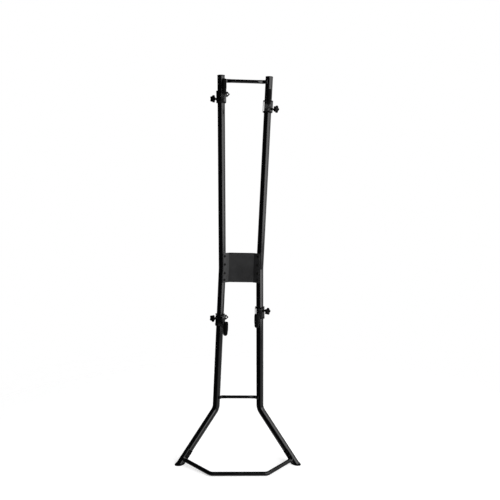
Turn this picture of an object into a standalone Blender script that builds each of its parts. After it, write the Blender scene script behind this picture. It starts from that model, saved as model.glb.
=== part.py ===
"""Upright storage rack for two bikes: bent tube frame, joint plate, bars and four sliding arm carriages."""

import math

import bmesh
import bpy
from mathutils import Matrix, Vector

# Numbers of flat sides on large, middle and small round pieces.
ROUND_SIDES = 20
BAR_SIDES = 16
SMALL_SIDES = 12

# Driving dimensions of the frame, in metres. The uprights' centre plane is at UPRIGHT_Y.
UPRIGHT_Y = 0.13625
GAP = 0.0003
TUBE_RADIUS = 0.0200
TUBE_WALL = 0.0018
TOP_Z = 2.1040
TOP_HALF_SPACING = 0.1294
JOINT_Z = 1.0600
JOINT_HALF_SPACING = 0.1038
BEND_Z = 0.2600
BEND_HALF_SPACING = 0.1246
BEND_RADIUS = 0.055
FOOT_HALF_SPACING = 0.3196
FOOT_FORWARD = 0.1590
SOLE_HEIGHT = 0.008
CAP_HEIGHT = 0.003
PLUG_LENGTH = 0.018

# Bars: round in the middle and pressed flat at the ends, where one or two bolts hold them.
FRONT_BAR_RADIUS = 0.011
FRONT_BAR_CORNER = 0.1500
FRONT_BAR_CORNER_RADIUS = 0.035
FRONT_BAR_FORWARD = 0.2985
FRONT_BAR_TAB = 0.048
FRONT_BAR_BOLT_Z = (0.041, 0.056)
UPPER_BAR_Z = 2.0740
UPPER_BAR_RADIUS = 0.0095
LOWER_BAR_Z = 0.3270
LOWER_BAR_RADIUS = 0.0087
CROSSBAR_SEAT_ANGLE = math.radians(45.0)
CROSSBAR_FORWARD = 0.004
CROSSBAR_TAB = 0.008
TAB_HALF = 0.0025
PRESSED_RUN = 0.030
PRESSED_SQUARENESS = 0.38

# The folded joint plate. Seat angles are measured from straight ahead towards the rack's middle.
PLATE_SEAT_ANGLE = math.radians(36.0)
PLATE_MARGIN = 0.010
PLATE_SET_BACK = 0.005
PLATE_BAND = 0.0085
PLATE_LOW_Z = 0.9840
PLATE_HIGH_Z = 1.1490
PLATE_THICKNESS = 0.003
PLATE_FOLD_INSET = 0.0347
PLATE_BOLT_Z = (0.9990, 1.0370, 1.0850, 1.1310)

# Bolts: radius of the shank, then radius and height of the heads.
BOLT_RADIUS = 0.004
FRAME_HEAD = (0.0068, 0.0042)
FRONT_BAR_HEAD = (0.0062, 0.0040)
SHANK_THROUGH_PLATE = 0.012
SHANK_THROUGH_BAR = 0.014
SHANK_THROUGH_TAB = 0.013

# Wall pads behind the tube tops, each with one screw in a sunk hole.
WALL_PAD_Z = 2.0820
WALL_PAD_FACE = 0.0372
WALL_PAD_HALF_WIDTH = 0.015
WALL_PAD_HALF_HEIGHT = 0.016
SCREW_SEAT = 0.0303
SCREW_HEAD = (0.0042, 0.0028)
SCREW_RADIUS = 0.002
SCREW_LENGTH = 0.0126

# Driving dimensions of one carriage. Its own frame has X outwards, -Y forwards and Z along the tube.
SHEET = 0.003
BRACKET_HALF_HEIGHT = 0.030
BRACKET_HALF_WIDTH = 0.027
BRACKET_FRONT = 0.0300
BRACKET_BACK = 0.0265
BRACKET_BORE = 0.0230
INNER_WALL = (-0.0268, -0.0240)
INNER_WALL_HALF_DEPTH = 0.018
WEB_DISTANCE = 0.0270
FRONT_WEB_FORWARD = 0.0274
OPEN_WEB_EDGE = -0.0190
CLOSED_WEB_EDGE = -0.0262
SLANTED_WEB_EDGE = 0.0258
LUG_OUTWARDS = -0.0315
LUG_HEIGHT = 0.0145
LUG_HALF_DIAGONAL = 0.0160
LUG_ROOT = 0.0065
LUG_EYE_OUTWARDS = -0.0345
LUG_EYE_RADIUS = 0.0030
BUSH_RADIUS = 0.0224
BUSH_LIP_RADIUS = 0.0254
CLAMP_ANGLE = math.radians(50.0)
CLAMP_HEIGHT = -0.014
NUT_ACROSS_FLATS = 0.013
NUT_HEIGHT = 0.0068
PAD_RADIUS = 0.006
PAD_THICKNESS = 0.0019
STUD_RADIUS = 0.004
KNOB_DISTANCE = 0.058
KNOB_RADIUS = 0.020
KNOB_LOBES = 5
ARM_RADIUS = 0.0095
ARM_WALL = 0.002
ARM_OUTWARDS = -0.007
ARM_HEIGHT = -0.009
ARM_START = 0.0335
ARM_PLATE_HALF = (0.012, 0.0235)
ARM_PLATE_THICKNESS = 0.0035
ARM_REACH = 0.2965
ARM_HOOK_RADIUS = 0.014
ARM_TIP_HEIGHT = 0.060
SLEEVE_START = 0.046
SLEEVE_RADIUS = 0.0115
ARM_CAP_RADIUS = 0.0125
ARM_CAP_START = ARM_HOOK_RADIUS + 0.001

SIDES = ((-1, "left"), (1, "right"))
# Level, side, height of the carriage on the tube's centre line, and how far its arm points outwards.
CARRIAGES = (
    ("upper", -1, 1.9890, -0.8),
    ("upper", 1, 1.9450, -2.5),
    ("lower", -1, 0.7720, -3.6),
    ("lower", 1, 0.8150, -5.7),
)

# Colours as linear red, green and blue.
STEEL_COLOUR = (0.012, 0.012, 0.013)
RUBBER_COLOUR = (0.016, 0.016, 0.016)
ZINC_COLOUR = (0.55, 0.56, 0.58)


def clear_scene():
    """Remove every object that a new file starts with."""
    for thing in list(bpy.data.objects):
        bpy.data.objects.remove(thing, do_unlink=True)


def finish(name, colour, roughness, metallic):
    """Make one plain surface finish."""
    material = bpy.data.materials.new(name)
    material.use_nodes = True
    shader = material.node_tree.nodes["Principled BSDF"]
    shader.inputs["Base Color"].default_value = (*colour, 1.0)
    shader.inputs["Roughness"].default_value = roughness
    shader.inputs["Metallic"].default_value = metallic
    return material


def add_object(name, mesh, material, matrix=None):
    """Put a finished mesh into the scene with its own copy of a material."""
    thing = bpy.data.objects.new(name, mesh)
    bpy.context.scene.collection.objects.link(thing)
    mesh.materials.clear()
    own = material.copy()
    own.name = name + "_finish"
    mesh.materials.append(own)
    if matrix is not None:
        thing.matrix_world = matrix
    return thing


def mesh_from_bmesh(work, name):
    """Close a bmesh into a mesh with outward faces and smooth round sides."""
    bmesh.ops.remove_doubles(work, verts=work.verts, dist=1e-6)
    bmesh.ops.recalc_face_normals(work, faces=work.faces)
    mesh = bpy.data.meshes.new(name)
    work.to_mesh(mesh)
    work.free()
    smooth_round_sides(mesh)
    return mesh


def smooth_round_sides(mesh):
    """Shade round sides smooth and keep the real edges sharp."""
    mesh.polygons.foreach_set("use_smooth", [True] * len(mesh.polygons))
    mesh.set_sharp_from_angle(angle=math.radians(32.0))


def ring(centre, side_axis, up_axis, half_side, half_up, squareness=1.0, count=ROUND_SIDES):
    """Return the points of an oval section; a low squareness makes it a rounded bar section."""
    points = []
    for step in range(count):
        angle = 2.0 * math.pi * step / count
        along = math.copysign(abs(math.cos(angle)) ** squareness, math.cos(angle))
        across = math.copysign(abs(math.sin(angle)) ** squareness, math.sin(angle))
        points.append(centre + side_axis * (half_side * along) + up_axis * (half_up * across))
    return points


def bridge(work, first, second):
    """Join two rings of vertices by a band of faces."""
    count = len(first)
    for step in range(count):
        after = (step + 1) % count
        work.faces.new((first[step], first[after], second[after], second[step]))


def loft(rings, name):
    """Make a solid through a list of rings, closed at both ends."""
    work = bmesh.new()
    loops = [[work.verts.new(point) for point in points] for points in rings]
    for first, second in zip(loops, loops[1:]):
        bridge(work, first, second)
    work.faces.new(loops[0])
    work.faces.new(loops[-1])
    return mesh_from_bmesh(work, name)


def hollow_loft(outer_rings, inner_rings, name):
    """Make a tube whose two ends are open."""
    work = bmesh.new()
    outer = [[work.verts.new(point) for point in points] for points in outer_rings]
    inner = [[work.verts.new(point) for point in points] for points in inner_rings]
    for first, second in zip(outer, outer[1:]):
        bridge(work, first, second)
    for first, second in zip(inner, inner[1:]):
        bridge(work, second, first)
    bridge(work, inner[0], outer[0])
    bridge(work, outer[-1], inner[-1])
    return mesh_from_bmesh(work, name)


def revolved(profile, name, count=ROUND_SIDES):
    """Turn a closed profile of (radius, height) points round the Z axis; a radius of 0 closes an end."""
    work = bmesh.new()
    loops = []
    for radius, height in profile:
        if radius == 0.0:
            loops.append([work.verts.new((0.0, 0.0, height))])
            continue
        centre = Vector((0, 0, height))
        points = ring(centre, Vector((1, 0, 0)), Vector((0, 1, 0)), radius, radius, 1.0, count)
        loops.append([work.verts.new(point) for point in points])
    pairs = list(zip(loops, loops[1:]))
    if len(loops[0]) > 1:
        pairs.append((loops[-1], loops[0]))
    for first, second in pairs:
        if len(first) == 1 or len(second) == 1:
            centre = first[0] if len(first) == 1 else second[0]
            edge = second if len(first) == 1 else first
            for step in range(count):
                work.faces.new((centre, edge[step], edge[(step + 1) % count]))
        else:
            bridge(work, first, second)
    return mesh_from_bmesh(work, name)


def prism(outline, low, high, name):
    """Pull a flat outline of (x, y) points up from one height to another."""
    rings = [[Vector((x, y, height)) for x, y in outline] for height in (low, high)]
    return loft(rings, name)


def rounded_path(corners, radii, steps=6):
    """Return points and directions along straight runs joined by arcs."""
    path = [(corners[0], (corners[1] - corners[0]).normalized())]
    for index in range(1, len(corners) - 1):
        corner = corners[index]
        before = (corner - corners[index - 1]).normalized()
        after = (corners[index + 1] - corner).normalized()
        turn = before.angle(after)
        setback = radii[index - 1] * math.tan(turn / 2.0)
        inward = (after - before).normalized()
        centre = corner + inward * (radii[index - 1] / math.cos(turn / 2.0))
        start = corner - before * setback
        axis = before.cross(after).normalized()
        for step in range(steps + 1):
            turned = Matrix.Rotation(turn * step / steps, 3, axis)
            path.append((centre + turned @ (start - centre), (turned @ before).normalized()))
    path.append((corners[-1], (corners[-1] - corners[-2]).normalized()))
    return path


def frames_along(path, first_side):
    """Carry a side direction along a path without twist."""
    side = (first_side - path[0][1] * first_side.dot(path[0][1])).normalized()
    frames = []
    last = path[0][1]
    for point, direction in path:
        side = last.rotation_difference(direction) @ side
        side = (side - direction * side.dot(direction)).normalized()
        frames.append((point, side, direction.cross(side).normalized(), direction))
        last = direction
    return frames


def tube_rings(frames, radius, count=ROUND_SIDES):
    """Return round rings of one radius along frames."""
    return [ring(point, side, up, radius, radius, 1.0, count) for point, side, up, direction in frames]


def cut_level(points, direction, height):
    """Slide a ring's points along a direction until they lie at one height."""
    return [point + direction * ((height - point.z) / direction.z) for point in points]


def oriented(origin, direction):
    """Return a matrix whose Z axis follows a direction."""
    return Matrix.Translation(origin) @ direction.to_track_quat("Z", "Y").to_matrix().to_4x4()


def merged(meshes, name):
    """Put separate solids into one mesh."""
    work = bmesh.new()
    for mesh in meshes:
        work.from_mesh(mesh)
    result = bpy.data.meshes.new(name)
    work.to_mesh(result)
    work.free()
    smooth_round_sides(result)
    return result


def combine(base, tools, operation):
    """Join tool meshes to a base mesh, or cut them out of it, and return the new mesh."""
    body = bpy.data.objects.new("body", base)
    bpy.context.scene.collection.objects.link(body)
    helpers = []
    for mesh in tools:
        helper = bpy.data.objects.new("helper", mesh)
        helper.hide_render = True
        helper.display_type = "WIRE"
        bpy.context.scene.collection.objects.link(helper)
        helpers.append(helper)
        modifier = body.modifiers.new("combine", "BOOLEAN")
        modifier.operation = operation
        modifier.solver = "EXACT"
        modifier.object = helper
    graph = bpy.context.evaluated_depsgraph_get()
    graph.update()
    result = bpy.data.meshes.new_from_object(body.evaluated_get(graph))
    for thing in (body, *helpers):
        bpy.data.objects.remove(thing, do_unlink=True)
    work = bmesh.new()
    work.from_mesh(result)
    bmesh.ops.remove_doubles(work, verts=work.verts, dist=2e-6)
    bmesh.ops.dissolve_degenerate(work, dist=2e-6, edges=work.edges)
    work.to_mesh(result)
    work.free()
    smooth_round_sides(result)
    return result


def placed_mesh(mesh, matrix):
    """Move a mesh's points by a matrix."""
    mesh.transform(matrix)
    return mesh


def drilled(mesh, holes, radius, name):
    """Cut round holes, each given by a start, a direction and a length."""
    cutters = []
    for start, direction, length in holes:
        cutter = revolved([(0.0, 0.0), (radius, 0.0), (radius, length), (0.0, length)], "hole", SMALL_SIDES)
        cutters.append(placed_mesh(cutter, oriented(start, direction)))
    result = combine(mesh, [merged(cutters, "holes")], "DIFFERENCE")
    result.name = name
    return result


def dome_bolt(head, shank_radius, shank_length):
    """Make a dome head, given by radius and height, and its shank; the head's seat is at height 0."""
    head_radius, head_height = head
    profile = [(0.0, -shank_length), (shank_radius, -shank_length), (shank_radius, 0.0), (head_radius, 0.0)]
    profile += [(head_radius, head_height * 0.25), (head_radius * 0.72, head_height * 0.84)]
    profile += [(head_radius * 0.36, head_height), (0.0, head_height)]
    return revolved(profile, "bolt", SMALL_SIDES)


def hex_outline(across_flats):
    """Return the corners of a hexagon."""
    corner = across_flats / math.sqrt(3.0)
    angles = [math.radians(60.0 * step) for step in range(6)]
    return [(corner * math.cos(angle), corner * math.sin(angle)) for angle in angles]


def upright_point(side, height):
    """Return the point on an upright's centre line at a height between bend and top."""
    if height >= JOINT_Z:
        share = (height - JOINT_Z) / (TOP_Z - JOINT_Z)
        half = JOINT_HALF_SPACING + share * (TOP_HALF_SPACING - JOINT_HALF_SPACING)
    else:
        share = (JOINT_Z - height) / (JOINT_Z - BEND_Z)
        half = JOINT_HALF_SPACING + share * (BEND_HALF_SPACING - JOINT_HALF_SPACING)
    return Vector((side * half, UPRIGHT_Y, height))


def upright_direction(side, height):
    """Return the upward direction of an upright's centre line at a height."""
    if height >= JOINT_Z:
        return (upright_point(side, TOP_Z) - upright_point(side, JOINT_Z)).normalized()
    return (upright_point(side, JOINT_Z - 0.001) - upright_point(side, BEND_Z)).normalized()


def leg_direction(side):
    """Return the direction of a leg from its bend down to its foot."""
    return (foot_point(side) - upright_point(side, BEND_Z)).normalized()


def foot_point(side):
    """Return where a leg's centre line meets the floor."""
    return Vector((side * FOOT_HALF_SPACING, UPRIGHT_Y - FOOT_FORWARD, 0.0))


def leg_point(side, height):
    """Return the point on a leg's centre line at a height."""
    direction = leg_direction(side)
    return foot_point(side) + direction * (height / direction.z)


def inner_front(side, angle):
    """Return the level direction from an upright that is turned from the front to the rack's middle."""
    return Vector((-side * math.sin(angle), -math.cos(angle), 0.0))


def upright_bolts(side, heights, angle, clearance):
    """Return bolt seats on an upright as (seat, outward direction)."""
    outward = inner_front(side, angle)
    lift = outward * (TUBE_RADIUS + clearance)
    return [(upright_point(side, height) + lift, outward) for height in heights]


def front_bar_normal(side):
    """Return the direction in which the front bar's end tab faces, square to the leg."""
    direction = leg_direction(side)
    wish = Vector((-0.42 * side, -0.87, 0.25))
    return (wish - direction * wish.dot(direction)).normalized()


def front_bar_bolt_seats(side):
    """Return the two bolt seats of one front bar tab."""
    normal = front_bar_normal(side)
    lift = normal * (TUBE_RADIUS + 2.0 * TAB_HALF + 2.0 * GAP)
    return [(leg_point(side, height) + lift, normal) for height in FRONT_BAR_BOLT_Z]


def bolt_holes(seats, back, length):
    """Turn bolt seats into straight holes that start in front of the seat and run inwards."""
    return [(seat + outward * back, -outward, length) for seat, outward in seats]


def build_frame_tubes(steel):
    """Make the two halves of both uprights with their drilled bolt holes."""
    for side, label in SIDES:
        sideways = Vector((0.0, 1.0, 0.0))
        top = upright_point(side, TOP_Z - CAP_HEIGHT - GAP)
        joint = upright_point(side, JOINT_Z)
        upward = upright_direction(side, TOP_Z)
        frames = frames_along([(joint, upward), (top, upward)], sideways)
        outer = tube_rings(frames, TUBE_RADIUS)
        inner = tube_rings(frames, TUBE_RADIUS - TUBE_WALL)
        outer[0] = cut_level(outer[0], upward, JOINT_Z + GAP / 2.0)
        inner[0] = cut_level(inner[0], upward, JOINT_Z + GAP / 2.0)
        mesh = hollow_loft(outer, inner, "upper_tube")
        seats = upright_bolts(side, [z for z in PLATE_BOLT_Z if z > JOINT_Z], PLATE_SEAT_ANGLE, 0.0)
        seats += upright_bolts(side, [UPPER_BAR_Z], CROSSBAR_SEAT_ANGLE, 0.0)
        mesh = drilled(mesh, bolt_holes(seats, 0.006, 0.012), BOLT_RADIUS + GAP, "upper_tube_" + label)
        behind = upright_point(side, WALL_PAD_Z) + Vector((0.0, TUBE_RADIUS + 0.006, 0.0))
        rear = [(behind, Vector((0.0, -1.0, 0.0)), 0.012)]
        mesh = drilled(mesh, rear, SCREW_RADIUS + GAP, "upper_tube_" + label)
        add_object("upper_tube_" + label, mesh, steel)

        corners = [joint, upright_point(side, BEND_Z), foot_point(side)]
        frames = frames_along(rounded_path(corners, [BEND_RADIUS], 7), sideways)
        outer = tube_rings(frames, TUBE_RADIUS)
        inner = tube_rings(frames, TUBE_RADIUS - TUBE_WALL)
        downward = frames[0][3]
        outer[0] = cut_level(outer[0], downward, JOINT_Z - GAP / 2.0)
        inner[0] = cut_level(inner[0], downward, JOINT_Z - GAP / 2.0)
        outer[-1] = cut_level(outer[-1], leg_direction(side), SOLE_HEIGHT + GAP)
        inner[-1] = cut_level(inner[-1], leg_direction(side), SOLE_HEIGHT + GAP)
        mesh = hollow_loft(outer, inner, "lower_tube")
        seats = upright_bolts(side, [z for z in PLATE_BOLT_Z if z < JOINT_Z], PLATE_SEAT_ANGLE, 0.0)
        seats += upright_bolts(side, [LOWER_BAR_Z], CROSSBAR_SEAT_ANGLE, 0.0)
        seats += front_bar_bolt_seats(side)
        mesh = drilled(mesh, bolt_holes(seats, 0.006, 0.020), BOLT_RADIUS + GAP, "lower_tube_" + label)
        add_object("lower_tube_" + label, mesh, steel)


def build_tube_ends(plastic):
    """Make the caps in the open tops and the feet in the leg ends."""
    bore = TUBE_RADIUS - TUBE_WALL - 2.0 * GAP
    rim = TUBE_RADIUS + 0.0006
    for side, label in SIDES:
        profile = [(0.0, -PLUG_LENGTH), (bore - 0.001, -PLUG_LENGTH), (bore, 0.002 - PLUG_LENGTH)]
        profile += [(bore, 0.0), (rim, 0.0), (rim, 0.0012), (rim - 0.0008, 0.0024)]
        profile += [(rim - 0.003, CAP_HEIGHT), (0.0, CAP_HEIGHT)]
        seat = upright_point(side, TOP_Z - CAP_HEIGHT)
        place = oriented(seat, upright_direction(side, TOP_Z))
        add_object("tube_cap_" + label, revolved(profile, "cap"), plastic, place)

        direction = leg_direction(side)
        frame = frames_along([(foot_point(side), direction)], Vector((0.0, 1.0, 0.0)))[0]
        levels = ((0.0, 0.0006), (0.0015, 0.0022), (SOLE_HEIGHT - 0.001, 0.0022), (SOLE_HEIGHT, 0.0012))
        rings = []
        for height, margin in levels:
            rings.append(cut_level(tube_rings([frame], TUBE_RADIUS + margin)[0], direction, height))
        for height, radius in ((SOLE_HEIGHT, bore), (0.030, bore), (0.032, bore - 0.001)):
            rings.append(cut_level(tube_rings([frame], radius)[0], direction, height))
        add_object("foot_boot_" + label, loft(rings, "foot"), plastic)


def plate_profile(height, set_back):
    """Return the middle line of the joint plate's folded section at a height, from right to left."""
    half = upright_point(1, height).x
    along = Vector((math.cos(PLATE_SEAT_ANGLE), -math.sin(PLATE_SEAT_ANGLE)))
    contact = inner_front(1, PLATE_SEAT_ANGLE).xy * (TUBE_RADIUS + GAP + PLATE_THICKNESS / 2.0)
    contact.x += half
    flange = (contact.x - half + PLATE_FOLD_INSET) / along.x + set_back / math.sin(PLATE_SEAT_ANGLE)
    line = [contact + along * PLATE_MARGIN, contact - along * flange]
    left = [Vector((-point.x, point.y)) for point in reversed(line)]
    return line + left


def offset_line(points, distance):
    """Shift a folded line sideways by one distance, keeping its folds sharp."""
    shifted = []
    for index, point in enumerate(points):
        normals = []
        for start, end in ((index - 1, index), (index, index + 1)):
            if start < 0 or end >= len(points):
                continue
            along = (points[end] - points[start]).normalized()
            normals.append(Vector((-along.y, along.x)))
        mean = sum(normals, Vector((0.0, 0.0))).normalized()
        shifted.append(point + mean * (distance / mean.dot(normals[0])))
    return shifted


def build_joint_plate(steel):
    """Make the folded plate that ties both upright halves together at half height."""
    sections = ((PLATE_LOW_Z, PLATE_SET_BACK), (PLATE_LOW_Z + PLATE_BAND, 0.0), (JOINT_Z, 0.0))
    sections += ((PLATE_HIGH_Z - PLATE_BAND, 0.0), (PLATE_HIGH_Z, PLATE_SET_BACK))
    rings = []
    for height, set_back in sections:
        line = plate_profile(height, set_back)
        front = offset_line(line, PLATE_THICKNESS / 2.0)
        back = offset_line(line, -PLATE_THICKNESS / 2.0)
        rings.append([Vector((point.x, point.y + UPRIGHT_Y, height)) for point in front + back[::-1]])
    mesh = loft(rings, "joint_plate")
    seats = []
    for side, label in SIDES:
        seats += upright_bolts(side, PLATE_BOLT_Z, PLATE_SEAT_ANGLE, 0.0)
    mesh = drilled(mesh, bolt_holes(seats, 0.010, 0.014), BOLT_RADIUS + GAP, "joint_plate")
    add_object("joint_plate", mesh, steel)

    for side, label in SIDES:
        seats = upright_bolts(side, PLATE_BOLT_Z, PLATE_SEAT_ANGLE, PLATE_THICKNESS + 2.0 * GAP)
        for number, (seat, outward) in enumerate(seats, start=1):
            bolt = dome_bolt(FRAME_HEAD, BOLT_RADIUS, SHANK_THROUGH_PLATE)
            add_object(f"joint_bolt_{label}_{number}", bolt, steel, oriented(seat, outward))


def sampled(path, long_run):
    """Cut the long straight runs of a path in three; return (point, direction, distance so far)."""
    samples = []
    walked = 0.0
    for (start, start_way), (end, end_way) in zip(path, path[1:]):
        run = (end - start).length
        pieces = 3 if run > long_run else 1
        for piece in range(pieces):
            share = piece / pieces
            way = start_way.lerp(end_way, share).normalized()
            samples.append((start.lerp(end, share), way, walked + share * run))
        walked += run
    samples.append((path[-1][0], path[-1][1], walked))
    return samples


def pressed_share(distance, start, run):
    """Return how far a bar is pressed flat, from 0 to 1, at a distance along it."""
    share = min(max((distance - start) / run, 0.0), 1.0)
    return share * share * (3.0 - 2.0 * share)


def pressed_ring(centre, sideways, up, radius, pressed, widening):
    """Return a section of a bar, between a circle and a flat tab with rounded edges."""
    thick = radius + (TAB_HALF - radius) * pressed
    tall = radius * (1.0 + widening * pressed)
    squareness = 1.0 - (1.0 - PRESSED_SQUARENESS) * pressed
    return ring(centre, sideways, up, thick, tall, squareness, BAR_SIDES)


def mirrored_rings(rings):
    """Return rings mirrored to the left side, in the order that leads to the first ring."""
    return [[Vector((-point.x, point.y, point.z)) for point in points] for points in reversed(rings)]


def crossbar_mesh(height, radius, name):
    """Make a round bar whose pressed ends lie on the uprights' inner front quarters."""
    half = upright_point(1, height).x
    contact = inner_front(1, CROSSBAR_SEAT_ANGLE) * (TUBE_RADIUS + GAP + TAB_HALF)
    contact.x += half
    along = Vector((math.cos(CROSSBAR_SEAT_ANGLE), -math.sin(CROSSBAR_SEAT_ANGLE), 0.0))
    fold = contact + along * ((contact.y + CROSSBAR_FORWARD) / math.sin(CROSSBAR_SEAT_ANGLE))
    origin = Vector((0.0, UPRIGHT_Y, height))
    corners = [fold - Vector((0.060, 0.0, 0.0)), fold, contact + along * CROSSBAR_TAB]
    rings = []
    for point, direction, distance in sampled(rounded_path(corners, [0.014], 4), 0.012):
        pressed = pressed_share(distance, 0.028, 0.024)
        sideways = Vector((0.0, 0.0, 1.0)).cross(direction).normalized()
        rings.append(pressed_ring(point + origin, sideways, Vector((0.0, 0.0, 1.0)), radius, pressed, 0.06))
    return loft(mirrored_rings(rings) + rings, name)


def build_crossbars(steel):
    """Make the thin bars across the top and the bottom of the uprights, with one bolt at each end."""
    bars = (("upper", UPPER_BAR_Z, UPPER_BAR_RADIUS), ("lower", LOWER_BAR_Z, LOWER_BAR_RADIUS))
    for level, height, radius in bars:
        name = "crossbar_" + level
        seats = []
        for side, label in SIDES:
            seats += upright_bolts(side, [height], CROSSBAR_SEAT_ANGLE, 0.0)
        mesh = crossbar_mesh(height, radius, name)
        mesh = drilled(mesh, bolt_holes(seats, 0.012, 0.016), BOLT_RADIUS + GAP, name)
        add_object(name, mesh, steel)
        for side, label in SIDES:
            seat, outward = upright_bolts(side, [height], CROSSBAR_SEAT_ANGLE, 2.0 * TAB_HALF + 2.0 * GAP)[0]
            bolt = dome_bolt(FRAME_HEAD, BOLT_RADIUS, SHANK_THROUGH_BAR)
            add_object(f"crossbar_bolt_{level}_{label}", bolt, steel, oriented(seat, outward))


def front_bar_mesh():
    """Make the bent bar, from its middle on the floor up to the pressed tabs on the legs."""
    normal = front_bar_normal(1)
    upward = -leg_direction(1)
    lift = normal * (TUBE_RADIUS + GAP + TAB_HALF)
    tab_start = leg_point(1, 0.026) + lift - upward * 0.004
    bend = Vector((FRONT_BAR_CORNER, UPRIGHT_Y - FRONT_BAR_FORWARD, FRONT_BAR_RADIUS))
    corners = [Vector((0.0, bend.y, bend.z)), bend, tab_start, leg_point(1, 0.066) + lift]
    samples = sampled(rounded_path(corners, [FRONT_BAR_CORNER_RADIUS, 0.012], 5), 0.03)
    total = samples[-1][2]
    rings = []
    for place, way, distance in samples:
        pressed = pressed_share(distance, total - FRONT_BAR_TAB - PRESSED_RUN, PRESSED_RUN)
        facing = normal if pressed > 0.0 else Vector((0.0, 1.0, 0.0))
        sideways = (facing - way * facing.dot(way)).normalized()
        points = pressed_ring(place, sideways, way.cross(sideways), FRONT_BAR_RADIUS, pressed, 0.25)
        rings.append(lined_up(rings[-1], points) if rings else points)
    return loft(mirrored_rings(rings[1:]) + rings, "front_bar")


def lined_up(previous, points):
    """Shift a ring's start to the point that fits the ring before it best."""
    count = len(points)
    sums = []
    for shift in range(count):
        sums.append(sum((points[(k + shift) % count] - previous[k]).length for k in range(count)))
    best = sums.index(min(sums))
    return [points[(k + best) % count] for k in range(count)]


def build_front_bar(steel):
    """Make the bent bar on the floor in front, with two bolts through each tab."""
    seats = front_bar_bolt_seats(-1) + front_bar_bolt_seats(1)
    mesh = drilled(front_bar_mesh(), bolt_holes(seats, 0.006, 0.014), BOLT_RADIUS + GAP, "front_bar")
    add_object("front_bar", mesh, steel)
    for side, label in SIDES:
        for number, (seat, outward) in enumerate(front_bar_bolt_seats(side), start=1):
            bolt = dome_bolt(FRONT_BAR_HEAD, BOLT_RADIUS, SHANK_THROUGH_TAB)
            add_object(f"front_bar_bolt_{label}_{number}", bolt, steel, oriented(seat, outward))


def build_wall_pads(rubber, zinc):
    """Make the rubber pads behind the tube tops, which touch the wall."""
    backwards = Vector((0.0, 1.0, 0.0))
    behind = backwards * 0.050
    for side, label in SIDES:
        saddle = TUBE_RADIUS + GAP
        outline = [(-WALL_PAD_HALF_WIDTH, WALL_PAD_FACE), (WALL_PAD_HALF_WIDTH, WALL_PAD_FACE)]
        start = math.acos(WALL_PAD_HALF_WIDTH / saddle)
        for step in range(9):
            angle = start + (math.pi - 2.0 * start) * step / 8.0
            outline.append((saddle * math.cos(angle), saddle * math.sin(angle)))
        mesh = prism(outline, -WALL_PAD_HALF_HEIGHT, WALL_PAD_HALF_HEIGHT, "pad")
        mesh = drilled(mesh, [(behind, -backwards, 0.040)], SCREW_RADIUS + GAP, "pad")
        mesh = drilled(mesh, [(behind, -backwards, 0.020)], SCREW_HEAD[0] + 0.0005, "pad")
        direction = upright_direction(side, TOP_Z)
        tilt = Matrix.Rotation(math.atan2(direction.x, direction.z), 4, "Y")
        centre = Matrix.Translation(upright_point(side, WALL_PAD_Z)) @ tilt
        add_object("wall_pad_" + label, mesh, rubber, centre)
        screw = dome_bolt(SCREW_HEAD, SCREW_RADIUS, SCREW_LENGTH)
        seat = oriented(backwards * SCREW_SEAT, backwards)
        add_object("wall_pad_screw_" + label, screw, zinc, centre @ seat)


def flange_ring(height):
    """Return the outline of a bracket flange, a rounded rectangle, at a height."""
    centre = (BRACKET_BACK - BRACKET_FRONT) / 2.0
    half_depth = (BRACKET_FRONT + BRACKET_BACK) / 2.0
    points = []
    for step in range(ROUND_SIDES):
        angle = 2.0 * math.pi * step / ROUND_SIDES
        across = abs(math.cos(angle) / BRACKET_HALF_WIDTH) ** 8 + abs(math.sin(angle) / half_depth) ** 8
        reach = across ** (-1.0 / 8.0)
        points.append(Vector((reach * math.cos(angle), centre + reach * math.sin(angle), height)))
    return points


def flange_mesh(low, high):
    """Make one flange of a bracket with its tube hole, between two heights."""
    holes = []
    for height in (low, high):
        centre = Vector((0.0, 0.0, height))
        holes.append(ring(centre, Vector((1, 0, 0)), Vector((0, 1, 0)), BRACKET_BORE, BRACKET_BORE))
    return hollow_loft([flange_ring(low), flange_ring(high)], holes, "flange")


def clamp_direction(side):
    """Return the direction of the clamp screw, from the tube to the outer front."""
    return Vector((side * math.sin(CLAMP_ANGLE), -math.cos(CLAMP_ANGLE), 0.0))


def web_outline(inner_edge):
    """Return the outline of a bracket's folded front web, seen from above."""
    normal = Vector((math.sin(CLAMP_ANGLE), math.cos(CLAMP_ANGLE)))
    forward = FRONT_WEB_FORWARD + SHEET / 2.0
    line = [
        Vector((inner_edge, forward)),
        Vector(((WEB_DISTANCE - normal.y * forward) / normal.x, forward)),
        Vector((SLANTED_WEB_EDGE, (WEB_DISTANCE - normal.x * SLANTED_WEB_EDGE) / normal.y)),
    ]
    outline = offset_line(line, SHEET / 2.0) + offset_line(line, -SHEET / 2.0)[::-1]
    return [(point.x, -point.y) for point in outline]


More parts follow.
